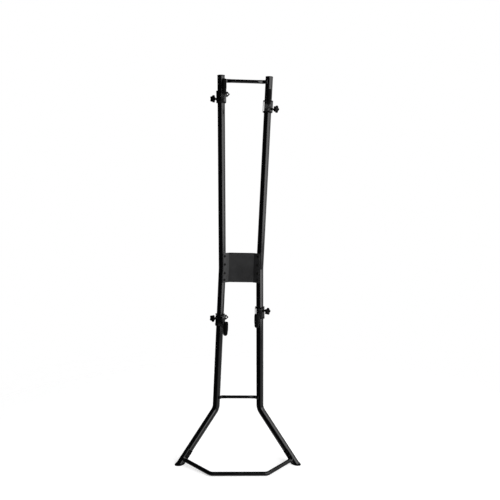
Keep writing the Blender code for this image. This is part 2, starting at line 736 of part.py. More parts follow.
def bracket_mesh(side, flip, name):
    """Make one bracket in the right hand or left hand form; flip -1 turns it upside down."""
    flange_z = BRACKET_HALF_HEIGHT - SHEET
    wall_z = flange_z + 2.0 * GAP
    wall = [(x, y) for x in INNER_WALL for y in (-INNER_WALL_HALF_DEPTH, INNER_WALL_HALF_DEPTH)]
    wall = [wall[0], wall[2], wall[3], wall[1]]
    pieces = [flange_mesh(flange_z, BRACKET_HALF_HEIGHT)]
    pieces.append(prism(wall, -wall_z, wall_z, "inner_wall"))
    inner_edge = CLOSED_WEB_EDGE if side < 0 else OPEN_WEB_EDGE
    pieces.append(prism(web_outline(inner_edge), -wall_z, wall_z, "web"))
    outward = clamp_direction(1)
    screw_level = Vector((0.0, 0.0, CLAMP_HEIGHT))
    nut = prism(hex_outline(NUT_ACROSS_FLATS), 0.0, NUT_HEIGHT, "nut")
    nut_seat = outward * (WEB_DISTANCE + SHEET / 2.0 - GAP) + screw_level
    pieces.append(placed_mesh(nut, oriented(nut_seat, outward)))
    if side < 0:
        half = LUG_HALF_DIAGONAL
        root = half - LUG_ROOT
        outline = [(LUG_ROOT, root), (0.0, half), (-half, 0.0), (0.0, -half), (LUG_ROOT, -root)]
        lug = prism(outline, -SHEET / 2.0, SHEET / 2.0, "lug")
        centre = Matrix.Translation((LUG_OUTWARDS, 0.0, LUG_HEIGHT * flip))
        upended = centre @ Matrix.Rotation(math.radians(90.0), 4, "X")
        pieces.append(placed_mesh(lug, upended))
    mesh = combine(flange_mesh(-BRACKET_HALF_HEIGHT, -flange_z), pieces, "UNION")
    mesh = drilled(mesh, [(outward * 0.022 + screw_level, outward, 0.020)], STUD_RADIUS + GAP, "bracket")
    if side < 0:
        eye = Vector((LUG_EYE_OUTWARDS, 0.006, LUG_HEIGHT * flip))
        mesh = drilled(mesh, [(eye, Vector((0.0, -1.0, 0.0)), 0.012)], LUG_EYE_RADIUS, "bracket")
    mesh.transform(Matrix.Diagonal((side, 1.0, flip, 1.0)))
    if side * flip < 0:
        mesh.flip_normals()
    mesh.name = name
    return mesh


def bush_mesh(name):
    """Make a bush: a ring in each flange of the bracket and a rib behind the tube that joins them."""
    top = BRACKET_HALF_HEIGHT
    inner = TUBE_RADIUS + 2.0 * GAP
    outer = BUSH_RADIUS
    profile = [(inner, top - 0.0045), (outer, top - 0.0045), (outer, top + GAP), (BUSH_LIP_RADIUS, top + GAP)]
    profile += [(BUSH_LIP_RADIUS, top + 0.0018), (inner, top + 0.0024)]
    upper = revolved(profile, "ring", BAR_SIDES)
    lower = revolved([(radius, -z) for radius, z in profile], "ring", BAR_SIDES)
    angles = [math.radians(degrees) for degrees in (70, 80, 90, 100, 110)]
    near = inner + 0.0002
    far = outer - 0.0004
    outline = [(near * math.cos(angle), near * math.sin(angle)) for angle in angles]
    outline += [(far * math.cos(angle), far * math.sin(angle)) for angle in reversed(angles)]
    rib = prism(outline, -(top - 0.0040), top - 0.0040, "rib")
    mesh = combine(upper, [lower, rib], "UNION")
    mesh.name = name
    return mesh


def arm_path(side):
    """Return the arm's centre line from its root plate to its turned up tip."""
    root = Vector((side * ARM_OUTWARDS, -ARM_START, ARM_HEIGHT))
    hook = Vector((root.x, -ARM_REACH, ARM_HEIGHT))
    return rounded_path([root, hook, hook + Vector((0.0, 0.0, ARM_TIP_HEIGHT))], [ARM_HOOK_RADIUS], 5)


def arm_mesh(side, name):
    """Make an arm: root plate and hollow tube with a turned up tip."""
    frames = frames_along(arm_path(side), Vector((1.0, 0.0, 0.0)))
    outer = tube_rings(frames, ARM_RADIUS, SMALL_SIDES)
    tube = hollow_loft(outer, tube_rings(frames, ARM_RADIUS - ARM_WALL, SMALL_SIDES), "tube")
    front_face = -(FRONT_WEB_FORWARD + SHEET + GAP)
    right, top = ARM_PLATE_HALF
    outline = [(-right, -top), (right, -top), (right, top), (-right, top)]
    upended = Matrix.Translation((side * ARM_OUTWARDS, front_face, 0.0))
    upended = upended @ Matrix.Rotation(math.radians(90.0), 4, "X")
    plate = placed_mesh(prism(outline, 0.0, ARM_PLATE_THICKNESS, "plate"), upended)
    mesh = combine(plate, [tube], "UNION")
    mesh.name = name
    return mesh


def sleeve_mesh(side, name):
    """Make the rubber sleeve that covers the arm up to its end cap."""
    path = arm_path(side)
    x = side * ARM_OUTWARDS
    start = (Vector((x, -SLEEVE_START, ARM_HEIGHT)), path[0][1])
    end = (Vector((x, -ARM_REACH, ARM_HEIGHT + ARM_CAP_START)), path[-1][1])
    frames = frames_along([start] + path[1:-1] + [end], Vector((1.0, 0.0, 0.0)))
    outer = tube_rings(frames, SLEEVE_RADIUS, SMALL_SIDES)
    return hollow_loft(outer, tube_rings(frames, ARM_RADIUS + GAP, SMALL_SIDES), name)


def arm_cap_mesh():
    """Make the rubber cup on the arm's tip, standing on its rim."""
    inner = ARM_RADIUS + GAP
    outer = ARM_CAP_RADIUS
    depth = ARM_TIP_HEIGHT - ARM_CAP_START
    profile = [(0.0, depth + GAP), (inner, depth + GAP), (inner, GAP), (outer - 0.0007, GAP)]
    profile += [(outer, 0.0035), (outer, 0.55 * depth), (outer - 0.0009, depth - 0.002)]
    profile += [(outer - 0.0022, depth + 0.0032), (outer - 0.0045, depth + 0.0048), (0.0, depth + 0.0054)]
    return revolved(profile, "arm_cap", SMALL_SIDES)


def knob_mesh():
    """Make a five lobed star knob along Z with its moulded-in stud towards the tube."""
    count = 30
    rings = []
    levels = ((-0.0120, 0.0, 0.0075), (-0.0062, 0.0, 0.0085), (-0.0060, 0.94, 0.0))
    levels += ((-0.0045, 1.0, 0.0), (0.0040, 1.0, 0.0), (0.0066, 0.86, 0.0))
    for height, scale, radius in levels:
        points = []
        for step in range(count):
            angle = 2.0 * math.pi * step / count
            reach = radius
            if scale > 0.0:
                reach = scale * KNOB_RADIUS * (0.86 + 0.14 * math.cos(KNOB_LOBES * angle))
            points.append(Vector((reach * math.cos(angle), reach * math.sin(angle), height)))
        rings.append(points)
    mesh = loft(rings, "knob")
    start = TUBE_RADIUS + GAP + PAD_THICKNESS + GAP - KNOB_DISTANCE
    stud = [(0.0, start), (STUD_RADIUS - 0.0006, start), (STUD_RADIUS, start + 0.0006)]
    stud += [(STUD_RADIUS, -0.004), (0.0, -0.004)]
    mesh = combine(mesh, [revolved(stud, "stud", SMALL_SIDES)], "UNION")
    mesh.name = "knob"
    return mesh


def carriage_matrix(side, height, swing):
    """Return the place of a carriage: Z along the tube, turned about the tube by its swing."""
    direction = upright_direction(side, height)
    tilt = Matrix.Rotation(math.atan2(direction.x, direction.z), 4, "Y")
    turn = Matrix.Rotation(math.radians(swing) * side, 4, "Z")
    return Matrix.Translation(upright_point(side, height)) @ tilt @ turn


def build_carriage(level, side, height, swing, finishes):
    """Make one carriage that slides on an upright and holds a bike by its frame."""
    steel, plastic, rubber = finishes
    label = level + "_" + ("left" if side < 0 else "right")
    place = carriage_matrix(side, height, swing)
    flip = 1 if level == "upper" else -1
    add_object("bracket_" + label, bracket_mesh(side, flip, "bracket_" + label), steel, place)
    add_object("bush_" + label, bush_mesh("bush_" + label), plastic, place)
    add_object("arm_" + label, arm_mesh(side, "arm_" + label), steel, place)
    add_object("arm_sleeve_" + label, sleeve_mesh(side, "arm_sleeve_" + label), rubber, place)
    tip = Matrix.Translation((side * ARM_OUTWARDS, -ARM_REACH, ARM_HEIGHT + ARM_CAP_START))
    add_object("arm_cap_" + label, placed_mesh(arm_cap_mesh(), tip), rubber, place)

    outward = clamp_direction(side)
    level_up = Vector((0.0, 0.0, CLAMP_HEIGHT * flip))
    profile = [(0.0, 0.0), (PAD_RADIUS - 0.0005, 0.0), (PAD_RADIUS, 0.0005)]
    profile += [(PAD_RADIUS, PAD_THICKNESS), (0.0, PAD_THICKNESS)]
    pad = revolved(profile, "pad", SMALL_SIDES)
    pad_seat = outward * (TUBE_RADIUS + GAP) + level_up
    add_object("clamp_pad_" + label, pad, plastic, place @ oriented(pad_seat, outward))
    knob_place = place @ oriented(outward * KNOB_DISTANCE + level_up, outward)
    add_object("knob_" + label, knob_mesh(), plastic, knob_place)


def main():
    """Build the whole rack."""
    clear_scene()
    steel = finish("black_powder_coat", STEEL_COLOUR, 0.42, 0.0)
    plastic = finish("black_plastic", RUBBER_COLOUR, 0.5, 0.0)
    rubber = finish("black_rubber", RUBBER_COLOUR, 0.8, 0.0)
    zinc = finish("zinc_steel", ZINC_COLOUR, 0.35, 1.0)
    build_frame_tubes(steel)
    build_tube_ends(plastic)
    build_joint_plate(steel)
    build_crossbars(steel)
    build_front_bar(steel)
    build_wall_pads(rubber, zinc)
    for level, side, height, swing in CARRIAGES:
        build_carriage(level, side, height, swing, (steel, plastic, rubber))


if __name__ == "__main__":
    main()
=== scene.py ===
"""Upright storage rack with four hooked arms, dressed for a studio picture.

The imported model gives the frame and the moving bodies. Every visible piece is rebuilt here with
finer edges and real finishes, in place of the plain solid that it stands for. Sizes are in metres
unless a name says otherwise.
"""

import logging
import math
from collections.abc import Sequence
from dataclasses import dataclass, field
from enum import Enum

import bmesh
import bpy
import numpy as np
from mathutils import Matrix, Vector


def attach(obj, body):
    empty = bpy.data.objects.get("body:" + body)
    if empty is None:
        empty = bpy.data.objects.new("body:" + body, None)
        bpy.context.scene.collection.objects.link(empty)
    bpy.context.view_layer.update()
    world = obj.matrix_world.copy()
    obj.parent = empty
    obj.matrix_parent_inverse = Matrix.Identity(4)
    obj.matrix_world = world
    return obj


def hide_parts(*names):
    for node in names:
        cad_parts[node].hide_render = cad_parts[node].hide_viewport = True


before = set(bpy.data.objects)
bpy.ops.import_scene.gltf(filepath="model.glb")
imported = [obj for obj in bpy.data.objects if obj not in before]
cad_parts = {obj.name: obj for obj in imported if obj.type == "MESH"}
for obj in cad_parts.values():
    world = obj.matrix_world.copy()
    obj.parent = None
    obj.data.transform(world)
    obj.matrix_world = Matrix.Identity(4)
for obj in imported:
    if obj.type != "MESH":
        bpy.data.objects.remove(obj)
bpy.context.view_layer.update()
LOG = logging.getLogger("rack")

Mesh = bpy.types.Mesh
Material = bpy.types.Material
Tree = bpy.types.NodeTree
Node = bpy.types.Node
Socket = bpy.types.NodeSocket
Pair = tuple[float, float]
Ring = list[Vector]
Aim = tuple[Vector, Vector]

SIDES = ((-1, "left"), (1, "right"))
X_AXIS = Vector((1.0, 0.0, 0.0))
Y_AXIS = Vector((0.0, 1.0, 0.0))
Z_AXIS = Vector((0.0, 0.0, 1.0))
QUARTER = math.radians(90.0)
WHITE = (1.0, 1.0, 1.0, 1.0)
SMALLEST = 1e-7
SAME_POINT = 1e-6

# The numbers of a Mix node's inputs: its factor, its plain pair and its colour pair.
FACTOR, PLAIN_A, PLAIN_B, COLOUR_A, COLOUR_B = 0, 2, 3, 6, 7


def linear_colour(hex_code: str) -> tuple[float, ...]:
    """Turn an sRGB hex value into linear colour.

    Args:
        hex_code: Six hex digits with a leading #.

    Returns:
        Red, green, blue and an alpha of 1, in linear light.
    """
    channels = [int(hex_code[start : start + 2], 16) / 255.0 for start in (1, 3, 5)]
    linear = [c / 12.92 if c <= 0.04045 else ((c + 0.055) / 1.055) ** 2.4 for c in channels]
    return (*linear, 1.0)


def feed(tree: Tree, node: Node, inputs: dict) -> None:
    """Set or link a node's inputs.

    Args:
        tree: Node tree that holds the node.
        node: Node that is fed.
        inputs: Values or output sockets by input name or number.
    """
    for key, value in inputs.items():
        if isinstance(value, Socket):
            tree.links.new(value, node.inputs[key])
        else:
            node.inputs[key].default_value = value


def add_node(tree: Tree, kind: str, inputs: dict | None = None, **settings: str) -> Node:
    """Add a node, set its options, and set or link its inputs.

    Args:
        tree: Node tree that gets the node.
        kind: Blender's type name of the node.
        inputs: Values or output sockets by input name or number.
        settings: Options of the node by attribute name.

    Returns:
        The new node.
    """
    node = tree.nodes.new(kind)
    for key, value in settings.items():
        setattr(node, key, value)
    feed(tree, node, inputs or {})
    return node


def per_millimetre(millimetres: float) -> float:
    """Return the pattern scale, in features a metre, of a feature size in millimetres."""
    return 1000.0 / millimetres


class Slot(Enum):
    """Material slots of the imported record."""

    STEEL = "powder_coated_steel"
    RUBBER = "black_rubber"
    PLASTIC = "black_plastic"
    ZINC = "zinc_steel"


@dataclass(frozen=True)
class Finish:
    """What every finish has: its name, two colours that drift into each other, and its roughness.

    The spread says where the range of a finish's grain starts and ends, and how far the roughness
    falls and rises from its middle value over that range.
    """

    name: str
    colour: str
    other_colour: str
    roughness: float
    spread: tuple[float, float, float, float] = (0.3, 0.7, 0.08, 0.08)
    ior: float = 1.5
    specular: float = 0.5
    metallic: float = 0.0

    def begin(self) -> tuple[Material, Tree, Socket]:
        """Start the material.

        Returns:
            The material, its tree, and the Object coordinates that its patterns lie on.
        """
        material = bpy.data.materials.new(self.name)
        material.use_nodes = True
        place = add_node(material.node_tree, "ShaderNodeTexCoord")
        return material, material.node_tree, place.outputs["Object"]

    def drifting(self, tree: Tree, drift: Socket) -> Socket:
        """Mix the two colours.

        Args:
            tree: Tree of the material.
            drift: Pattern that leads from the first colour to the other.

        Returns:
            The mixed colour.
        """
        colours = {COLOUR_A: linear_colour(self.colour), COLOUR_B: linear_colour(self.other_colour)}
        return add_node(tree, "ShaderNodeMix", {FACTOR: drift, **colours}, data_type="RGBA").outputs[2]

    def coat(self, tree: Tree, drift: Socket, grain: Socket) -> None:
        """Colour the shader and vary its roughness.

        Args:
            tree: Tree of the material.
            drift: Pattern that leads from the first colour to the other.
            grain: Pattern that varies the roughness.
        """
        start, end, fall, rise = self.spread
        limits = {"Value": grain, "From Min": start, "From Max": end}
        limits |= {"To Min": self.roughness - fall, "To Max": self.roughness + rise}
        rough = add_node(tree, "ShaderNodeMapRange", limits).outputs[0]
        surface = {"Base Color": self.drifting(tree, drift), "Roughness": rough, "IOR": self.ior}
        surface |= {"Specular IOR Level": self.specular, "Metallic": self.metallic}
        feed(tree, tree.nodes["Principled BSDF"], surface)

    def dent(self, tree: Tree, strength: float, depth: float, height: Socket) -> None:
        """Press a pattern into the surface as a bump, over the bumps that it has already.

        Args:
            tree: Tree of the material.
            strength: How much of the bump shows.
            depth: Depth of the pattern.
            height: The pattern.
        """
        normal = tree.nodes["Principled BSDF"].inputs["Normal"]
        bump = {"Strength": strength, "Distance": depth, "Height": height}
        if normal.is_linked:
            bump["Normal"] = normal.links[0].from_socket
        tree.links.new(add_node(tree, "ShaderNodeBump", bump).outputs["Normal"], normal)


@dataclass(frozen=True)
class PowderCoat(Finish):
    """Black polyester powder coat, baked on steel: a soft gloss over a faint orange peel."""

    name: str = "powder_coated_steel_semi_gloss"
    colour: str = "#060607"
    other_colour: str = "#0c0c0d"
    roughness: float = 0.15
    spread: tuple[float, float, float, float] = (0.3, 0.7, 0.04, 0.08)
    peel_mm: float = 2.2
    peel_depth: float = 0.00009
    speck_mm: float = 0.5
    speck_depth: float = 0.00003
    film_mm: float = 55.0
    film_range: Pair = (0.48, 0.78)

    def make(self) -> Material:
        """Build the finish. The eye sees a black skin whose broad highlight is slightly mottled.

        Returns:
            The material.
        """
        material, tree, place = self.begin()
        patterns = []
        for size, detail in ((self.peel_mm, 2.0), (self.speck_mm, 1.0), (self.film_mm, 4.0)):
            pattern = {"Vector": place, "Scale": per_millimetre(size), "Detail": detail}
            patterns.append(add_node(tree, "ShaderNodeTexNoise", pattern).outputs["Fac"])
        peel, speck, cloud = patterns
        limits = {"Value": cloud, "From Min": self.film_range[0], "From Max": self.film_range[1]}
        film = add_node(tree, "ShaderNodeMapRange", limits).outputs[0]
        self.coat(tree, film, cloud)
        self.dent(tree, 0.25, self.speck_depth, speck)
        self.dent(tree, 0.5, self.peel_depth, peel)
        return material


@dataclass(frozen=True)
class DippedRubber(Finish):
    """Black rubber, moulded over the arms and pads: matt, with a fine dry grain."""

    name: str = "moulded_rubber_matt"
    colour: str = "#050505"
    other_colour: str = "#0f0f0f"
    roughness: float = 0.68
    spread: tuple[float, float, float, float] = (0.3, 0.7, 0.08, 0.1)
    ior: float = 1.52
    specular: float = 0.07
    grain_mm: float = 0.7
    grain_depth: float = 0.00008
    rub_mm: float = 18.0
    rub_range: Pair = (0.5, 0.75)
    most_worn: float = 0.8

    def make(self) -> Material:
        """Build the finish. The eye sees a dull black that greys a little where it is handled.

        Returns:
            The material.
        """
        material, tree, place = self.begin()
        pattern = {"Vector": place, "Scale": per_millimetre(self.grain_mm), "Detail": 3.0}
        grain = add_node(tree, "ShaderNodeTexNoise", pattern).outputs["Fac"]
        pattern = {"Vector": place, "Scale": per_millimetre(self.rub_mm), "Detail": 5.0}
        rub = add_node(tree, "ShaderNodeTexNoise", pattern).outputs["Fac"]
        limits = {"From Min": self.rub_range[0], "From Max": self.rub_range[1], "To Max": self.most_worn}
        worn = add_node(tree, "ShaderNodeMapRange", {"Value": rub, **limits}).outputs[0]
        self.coat(tree, worn, grain)
        self.dent(tree, 0.6, self.grain_depth, grain)
        return material


@dataclass(frozen=True)
class MouldedPlastic(Finish):
    """Black nylon, injection moulded in a spark eroded tool: an even pebbled satin."""

    name: str = "moulded_nylon_pebbled"
    colour: str = "#030304"
    other_colour: str = "#080809"
    roughness: float = 0.46
    spread: tuple[float, float, float, float] = (0.0, 0.8, 0.1, 0.1)
    ior: float = 1.53
    specular: float = 0.05
    pebble_mm: float = 0.45
    pebble_depth: float = 0.00006
    flow_mm: float = 9.0

    def make(self) -> Material:
        """Build the finish. The eye sees satin black with tiny pebbles that break up the gloss.

        Returns:
            The material.
        """
        material, tree, place = self.begin()
        pattern = {"Vector": place, "Scale": per_millimetre(self.pebble_mm)}
        pebble = add_node(tree, "ShaderNodeTexVoronoi", pattern, feature="SMOOTH_F1").outputs["Distance"]
        pattern = {"Vector": place, "Scale": per_millimetre(self.flow_mm), "Detail": 3.0}
        flow = add_node(tree, "ShaderNodeTexNoise", pattern).outputs["Fac"]
        self.coat(tree, flow, pebble)
        self.dent(tree, 0.5, self.pebble_depth, pebble)
        return material


@dataclass(frozen=True)
class ZincPlate(Finish):
    """Steel, cut and then zinc plated: bright grey metal with a slightly cloudy skin."""

    name: str = "zinc_plated_steel"
    colour: str = "#c3c6ca"
    other_colour: str = "#a9a79c"
    roughness: float = 0.3
    spread: tuple[float, float, float, float] = (0.0, 0.9, 0.06, 0.12)
    metallic: float = 1.0
    crystal_mm: float = 1.4
    cloud_mm: float = 6.0

    def make(self) -> Material:
        """Build the finish. The eye sees pale metal with small patches of duller, yellower plate.

        Returns:
            The material.
        """
        material, tree, place = self.begin()
        pattern = {"Vector": place, "Scale": per_millimetre(self.crystal_mm)}
        crystal = add_node(tree, "ShaderNodeTexVoronoi", pattern).outputs["Distance"]
        pattern = {"Vector": place, "Scale": per_millimetre(self.cloud_mm), "Detail": 3.0}
        cloud = add_node(tree, "ShaderNodeTexNoise", pattern).outputs["Fac"]
        self.coat(tree, cloud, crystal)
        return material


@dataclass(frozen=True)
class BlackOxide(Finish):
    """Steel bolts and studs, blackened in a hot bath and oiled: a flat black that hardly shines."""

    name: str = "black_oxide_steel"
    colour: str = "#030303"
    other_colour: str = "#0b0a0a"
    roughness: float = 0.55
    specular: float = 0.25
    oil_mm: float = 3.0

    def make(self) -> Material:
        """Build the finish. The eye sees dead black heads against the glossier paint round them.

        Returns:
            The material.
        """
        material, tree, place = self.begin()
        pattern = {"Vector": place, "Scale": per_millimetre(self.oil_mm), "Detail": 3.0}
        oil = add_node(tree, "ShaderNodeTexNoise", pattern).outputs["Fac"]
        self.coat(tree, oil, oil)
        return material


@dataclass(frozen=True)
class PaleFloor(Finish):
    """Matt white studio floor that fades into the white round it and is left out of reflections."""

    name: str = "matt_white_floor"
    colour: str = "#f4f4f4"
    other_colour: str = "#f7f7f7"
    roughness: float = 0.9
    specular: float = 0.1
    grain_mm: float = 40.0
    glow: float = 0.5
    near_m: float = 0.9
    far_m: float = 2.4

    def make(self) -> Material:
        """Build the finish. The eye sees white that takes a soft shadow near the rack.

        Returns:
            The material.
        """
        material, tree, place = self.begin()
        shader = tree.nodes["Principled BSDF"]
        pattern = {"Vector": place, "Scale": per_millimetre(self.grain_mm)}
        grain = add_node(tree, "ShaderNodeTexNoise", pattern).outputs["Fac"]
        path = add_node(tree, "ShaderNodeLightPath").outputs
        share = {0: path["Is Camera Ray"], 1: self.glow}
        seen = add_node(tree, "ShaderNodeMath", share, operation="MULTIPLY").outputs[0]
        surface = {"Base Color": self.drifting(tree, grain), "Roughness": self.roughness}
        surface |= {"Specular IOR Level": self.specular, "Emission Color": WHITE, "Emission Strength": seen}
        feed(tree, shader, surface)
        reach = add_node(tree, "ShaderNodeVectorMath", {0: place}, operation="LENGTH").outputs["Value"]
        limits = {"Value": reach, "From Min": self.near_m, "From Max": self.far_m}
        fade = add_node(tree, "ShaderNodeMapRange", limits, interpolation_type="SMOOTHSTEP").outputs[0]
        either = {0: fade, 1: path["Is Glossy Ray"]}
        hidden = add_node(tree, "ShaderNodeMath", either, operation="MAXIMUM").outputs[0]
        clear = add_node(tree, "ShaderNodeBsdfTransparent").outputs[0]
        mixed = add_node(tree, "ShaderNodeMixShader", {0: hidden, 1: shader.outputs[0], 2: clear})
        feed(tree, tree.nodes["Material Output"], {"Surface": mixed.outputs[0]})
        return material


@dataclass
class Finishes:
    """The finishes that the rack's pieces share."""

    steel: Material = field(default_factory=PowderCoat().make)
    rubber: Material = field(default_factory=DippedRubber().make)
    plastic: Material = field(default_factory=MouldedPlastic().make)
    zinc: Material = field(default_factory=ZincPlate().make)
    # The joint plate's coat is the same black powder coat, made matt. Its dark grey colour is a painted
    # sheen: the black is lifted to stand in for the light that the plate's front field reflects.
    plate: Material = field(
        default_factory=PowderCoat("powder_coated_steel_matt_painted_sheen", "#1e1e1f", "#242425", 0.40).make)
    bolt: Material = field(default_factory=BlackOxide().make)

    def of(self, slot: Slot) -> Material:
        """Return the finish of a record slot."""
        usual = {Slot.STEEL: self.steel, Slot.RUBBER: self.rubber, Slot.PLASTIC: self.plastic}
        return usual.get(slot, self.zinc)


def angles_round(count: int) -> list[float]:
    """Return evenly spaced angles round a circle."""
    return [2.0 * math.pi * step / count for step in range(count)]


def ring(centre: Vector, side: Vector, up: Vector, half_side: float, half_up: float,
         square: float = 1.0, count: int = 48) -> Ring:
    """Return the points of an oval section.

    Args:
        centre: Middle of the section.
        side: Unit direction of the first half size.
        up: Unit direction of the second half size.
        half_side: Half size along side.
        half_up: Half size along up.
        square: 1 for an oval, towards 0 for a rounded bar section.
        count: Number of points.

    Returns:
        The points in order round the section.
    """
    points = []
    for angle in angles_round(count):
        along = math.copysign(abs(math.cos(angle)) ** square, math.cos(angle))
        across = math.copysign(abs(math.sin(angle)) ** square, math.sin(angle))
        points.append(centre + side * (half_side * along) + up * (half_up * across))
    return points


def level_ring(reaches: Sequence[float], height: float, middle: float = 0.0) -> Ring:
    """Return a level section from how far it reaches at even steps round the Z axis.

    Args:
        reaches: Distances from the section's middle.
        height: Height of the section.
        middle: Y of the section's middle.

    Returns:
        The points in order round the section.
    """
    points = []
    for reach, angle in zip(reaches, angles_round(len(reaches))):
        points.append(Vector((reach * math.cos(angle), middle + reach * math.sin(angle), height)))
    return points


def shoulder(radius: float, height: float, inward: float, rise: float, steps: int) -> list[Pair]:
    """Return a profile's rounded shoulder, from upright to level.

    Args:
        radius: Radius where the round starts.
        height: Height where it starts.
        inward: How far it runs in.
        rise: How far it rises.
        steps: Pieces in the arc.

    Returns:
        Radius and height of each point.
    """
    angles = [QUARTER * step / steps for step in range(steps + 1)]
    return [(radius - inward * (1.0 - math.cos(a)), height + rise * math.sin(a)) for a in angles]


def shade(mesh: Mesh, degrees: float = 35.0) -> Mesh:
    """Shade a mesh smooth and keep steep edges sharp.

    Args:
        mesh: Mesh to shade.
        degrees: Edges steeper than this stay sharp.

    Returns:
        The same mesh.
    """
    mesh.polygons.foreach_set("use_smooth", [True] * len(mesh.polygons))
    mesh.set_sharp_from_angle(angle=math.radians(degrees))
    return mesh


def closed_mesh(work: bmesh.types.BMesh) -> Mesh:
    """Merge doubles, turn faces outwards and return the finished mesh.

    Args:
        work: The mesh being edited; it is freed.

    Returns:
        The mesh, shaded smooth.
    """
    bmesh.ops.remove_doubles(work, verts=work.verts, dist=SAME_POINT)
    bmesh.ops.recalc_face_normals(work, faces=work.faces)
    mesh = bpy.data.meshes.new("part")
    work.to_mesh(mesh)
    work.free()
    return shade(mesh)


def loft(rings: Sequence[Ring], hollow: bool = False) -> Mesh:
    """Make a skin through rings.

    Args:
        rings: Rings with the same number of points.
        hollow: True joins the last ring to the first, for a wall with open ends; False closes
            both ends.

    Returns:
        The closed mesh.
    """
    work = bmesh.new()
    loops = [[work.verts.new(point) for point in points] for points in rings]
    pairs = list(zip(loops, loops[1:]))
    if hollow:
        pairs.append((loops[-1], loops[0]))
    for first, second in pairs:
        count = len(first)
        for step in range(count):
            after = (step + 1) % count
            work.faces.new((first[step], first[after], second[after], second[step]))
    if not hollow:
        work.faces.new(loops[0])
        work.faces.new(loops[-1])
    return closed_mesh(work)


def turned(profile: Sequence[Pair], count: int = 48) -> Mesh:
    """Turn a profile round Z.

    Args:
        profile: Radius and height of each point; closed, or from radius 0 to radius 0.
        count: Points round the axis.

    Returns:
        The closed mesh.
    """
    rings = [level_ring([max(radius, SMALLEST)] * count, height) for radius, height in profile]
    return loft(rings, hollow=profile[0][0] > 0.0)


def prism(outline: Sequence[Pair], low: float, high: float) -> Mesh:
    """Pull a flat outline up from one height to another."""
    return loft([[Vector((x, y, z)) for x, y in outline] for z in (low, high)])


def rectangle(left: float, right: float, half: float) -> list[Pair]:
    """Return an outline between two sides, half above and half below the middle."""
    return [(left, -half), (right, -half), (right, half), (left, half)]


def placed(mesh: Mesh, matrix: Matrix) -> Mesh:
    """Move a mesh's points by a matrix."""
    mesh.transform(matrix)
    return mesh


def aimed(origin: Vector, direction: Vector) -> Matrix:
    """Return a place whose Z axis follows a direction."""
    return Matrix.Translation(origin) @ direction.to_track_quat("Z", "Y").to_matrix().to_4x4()


def joined(meshes: Sequence[Mesh]) -> Mesh:
    """Put several closed meshes into one.

    Args:
        meshes: The meshes.

    Returns:
        A new mesh, shaded smooth.
    """
    work = bmesh.new()
    for mesh in meshes:
        work.from_mesh(mesh)
    result = bpy.data.meshes.new("joined")
    work.to_mesh(result)
    work.free()
    return shade(result)


def linked(name: str, data: bpy.types.ID) -> bpy.types.Object:
    """Make an object and put it in the scene.

    Args:
        name: Name of the object.
        data: Its mesh, lamp or camera.

    Returns:
        The object.
    """
    thing = bpy.data.objects.new(name, data)
    bpy.context.scene.collection.objects.link(thing)
    return thing


def applied(helper: bpy.types.Object) -> Mesh:
    """Apply an object's modifiers and remove the object.

    Args:
        helper: Object in the scene.

    Returns:
        The plain mesh that the modifiers give.
    """
    graph = bpy.context.evaluated_depsgraph_get()
    graph.update()
    result = bpy.data.meshes.new_from_object(helper.evaluated_get(graph))
    bpy.data.objects.remove(helper, do_unlink=True)
    return result


def softened(mesh: Mesh, width: float, segments: int = 2, degrees: float = 35.0) -> Mesh:
    """Round a mesh's sharp edges with a Bevel.

    Args:
        mesh: Closed mesh with true edges.
        width: Width of the round.
        segments: Faces across the round.
        degrees: Edges flatter than this stay as they are.

    Returns:
        A new mesh with rounded edges.
    """
    helper = linked("softened", mesh)
    bevel = helper.modifiers.new("round_edges", "BEVEL")
    bevel.width = width
    bevel.segments = segments
    bevel.limit_method = "ANGLE"
    bevel.angle_limit = math.radians(degrees)
    bevel.harden_normals = False
    return shade(applied(helper), 25.0)


def drilled(mesh: Mesh, start: Vector, way: Vector, length: float, radius: float) -> Mesh:
    """Cut a round hole with a Boolean.

    Args:
        mesh: Closed mesh.
        start: Middle of the hole's first end.
        way: Direction of the hole.
        length: Length of the hole.
        radius: Radius of the hole.

    Returns:
        A new mesh with the hole.
    """
    profile = [(0.0, 0.0), (radius, 0.0), (radius, length), (0.0, length)]
    cutter = linked("cutter", placed(turned(profile, 32), aimed(start, way)))
    body = linked("body", mesh)
    cut = body.modifiers.new("hole", "BOOLEAN")
    cut.operation = "DIFFERENCE"
    cut.object = cutter
    result = applied(body)
    bpy.data.objects.remove(cutter, do_unlink=True)
    return shade(result)


def rounded_path(corners: Sequence[Vector], radii: Sequence[float], steps: int = 12) -> list[Aim]:
    """Join straight runs by arcs.

    Args:
        corners: Ends and corners of the path.
        radii: Radius of the arc at each inner corner.
        steps: Pieces in each arc.

    Returns:
        Points with the direction of travel.
    """
    path = [(corners[0], (corners[1] - corners[0]).normalized())]
    for previous, corner, following, radius in zip(corners, corners[1:], corners[2:], radii):
        before = (corner - previous).normalized()
        after = (following - corner).normalized()
        turn = before.angle(after)
        start = corner - before * (radius * math.tan(turn / 2.0))
        centre = corner + (after - before).normalized() * (radius / math.cos(turn / 2.0))
        axis = before.cross(after).normalized()
        for step in range(steps + 1):
            spun = Matrix.Rotation(turn * step / steps, 3, axis)
            path.append((centre + spun @ (start - centre), (spun @ before).normalized()))
    path.append((corners[-1], (corners[-1] - corners[-2]).normalized()))
    return path


def stepped(path: Sequence[Aim], length: float) -> list[tuple[Vector, Vector, float]]:
    """Split a path into short steps.

    Args:
        path: Points with the direction of travel.
        length: About how long a step is.

    Returns:
        Point, direction and distance from the start, at each step and at the end.
    """
    steps = []
    walked = 0.0
    for (point, way), (target, heading) in zip(path, path[1:]):
        run = (target - point).length
        pieces = max(1, round(run / length))
        for piece in range(pieces):
            share = piece / pieces
            turned_way = way.lerp(heading, share).normalized()
            steps.append((point.lerp(target, share), turned_way, walked + share * run))
        walked += run
    return steps + [(*path[-1], walked)]


def square_to(direction: Vector, way: Vector) -> Vector:
    """Return a direction turned square to another one."""
    return (direction - way * direction.dot(way)).normalized()


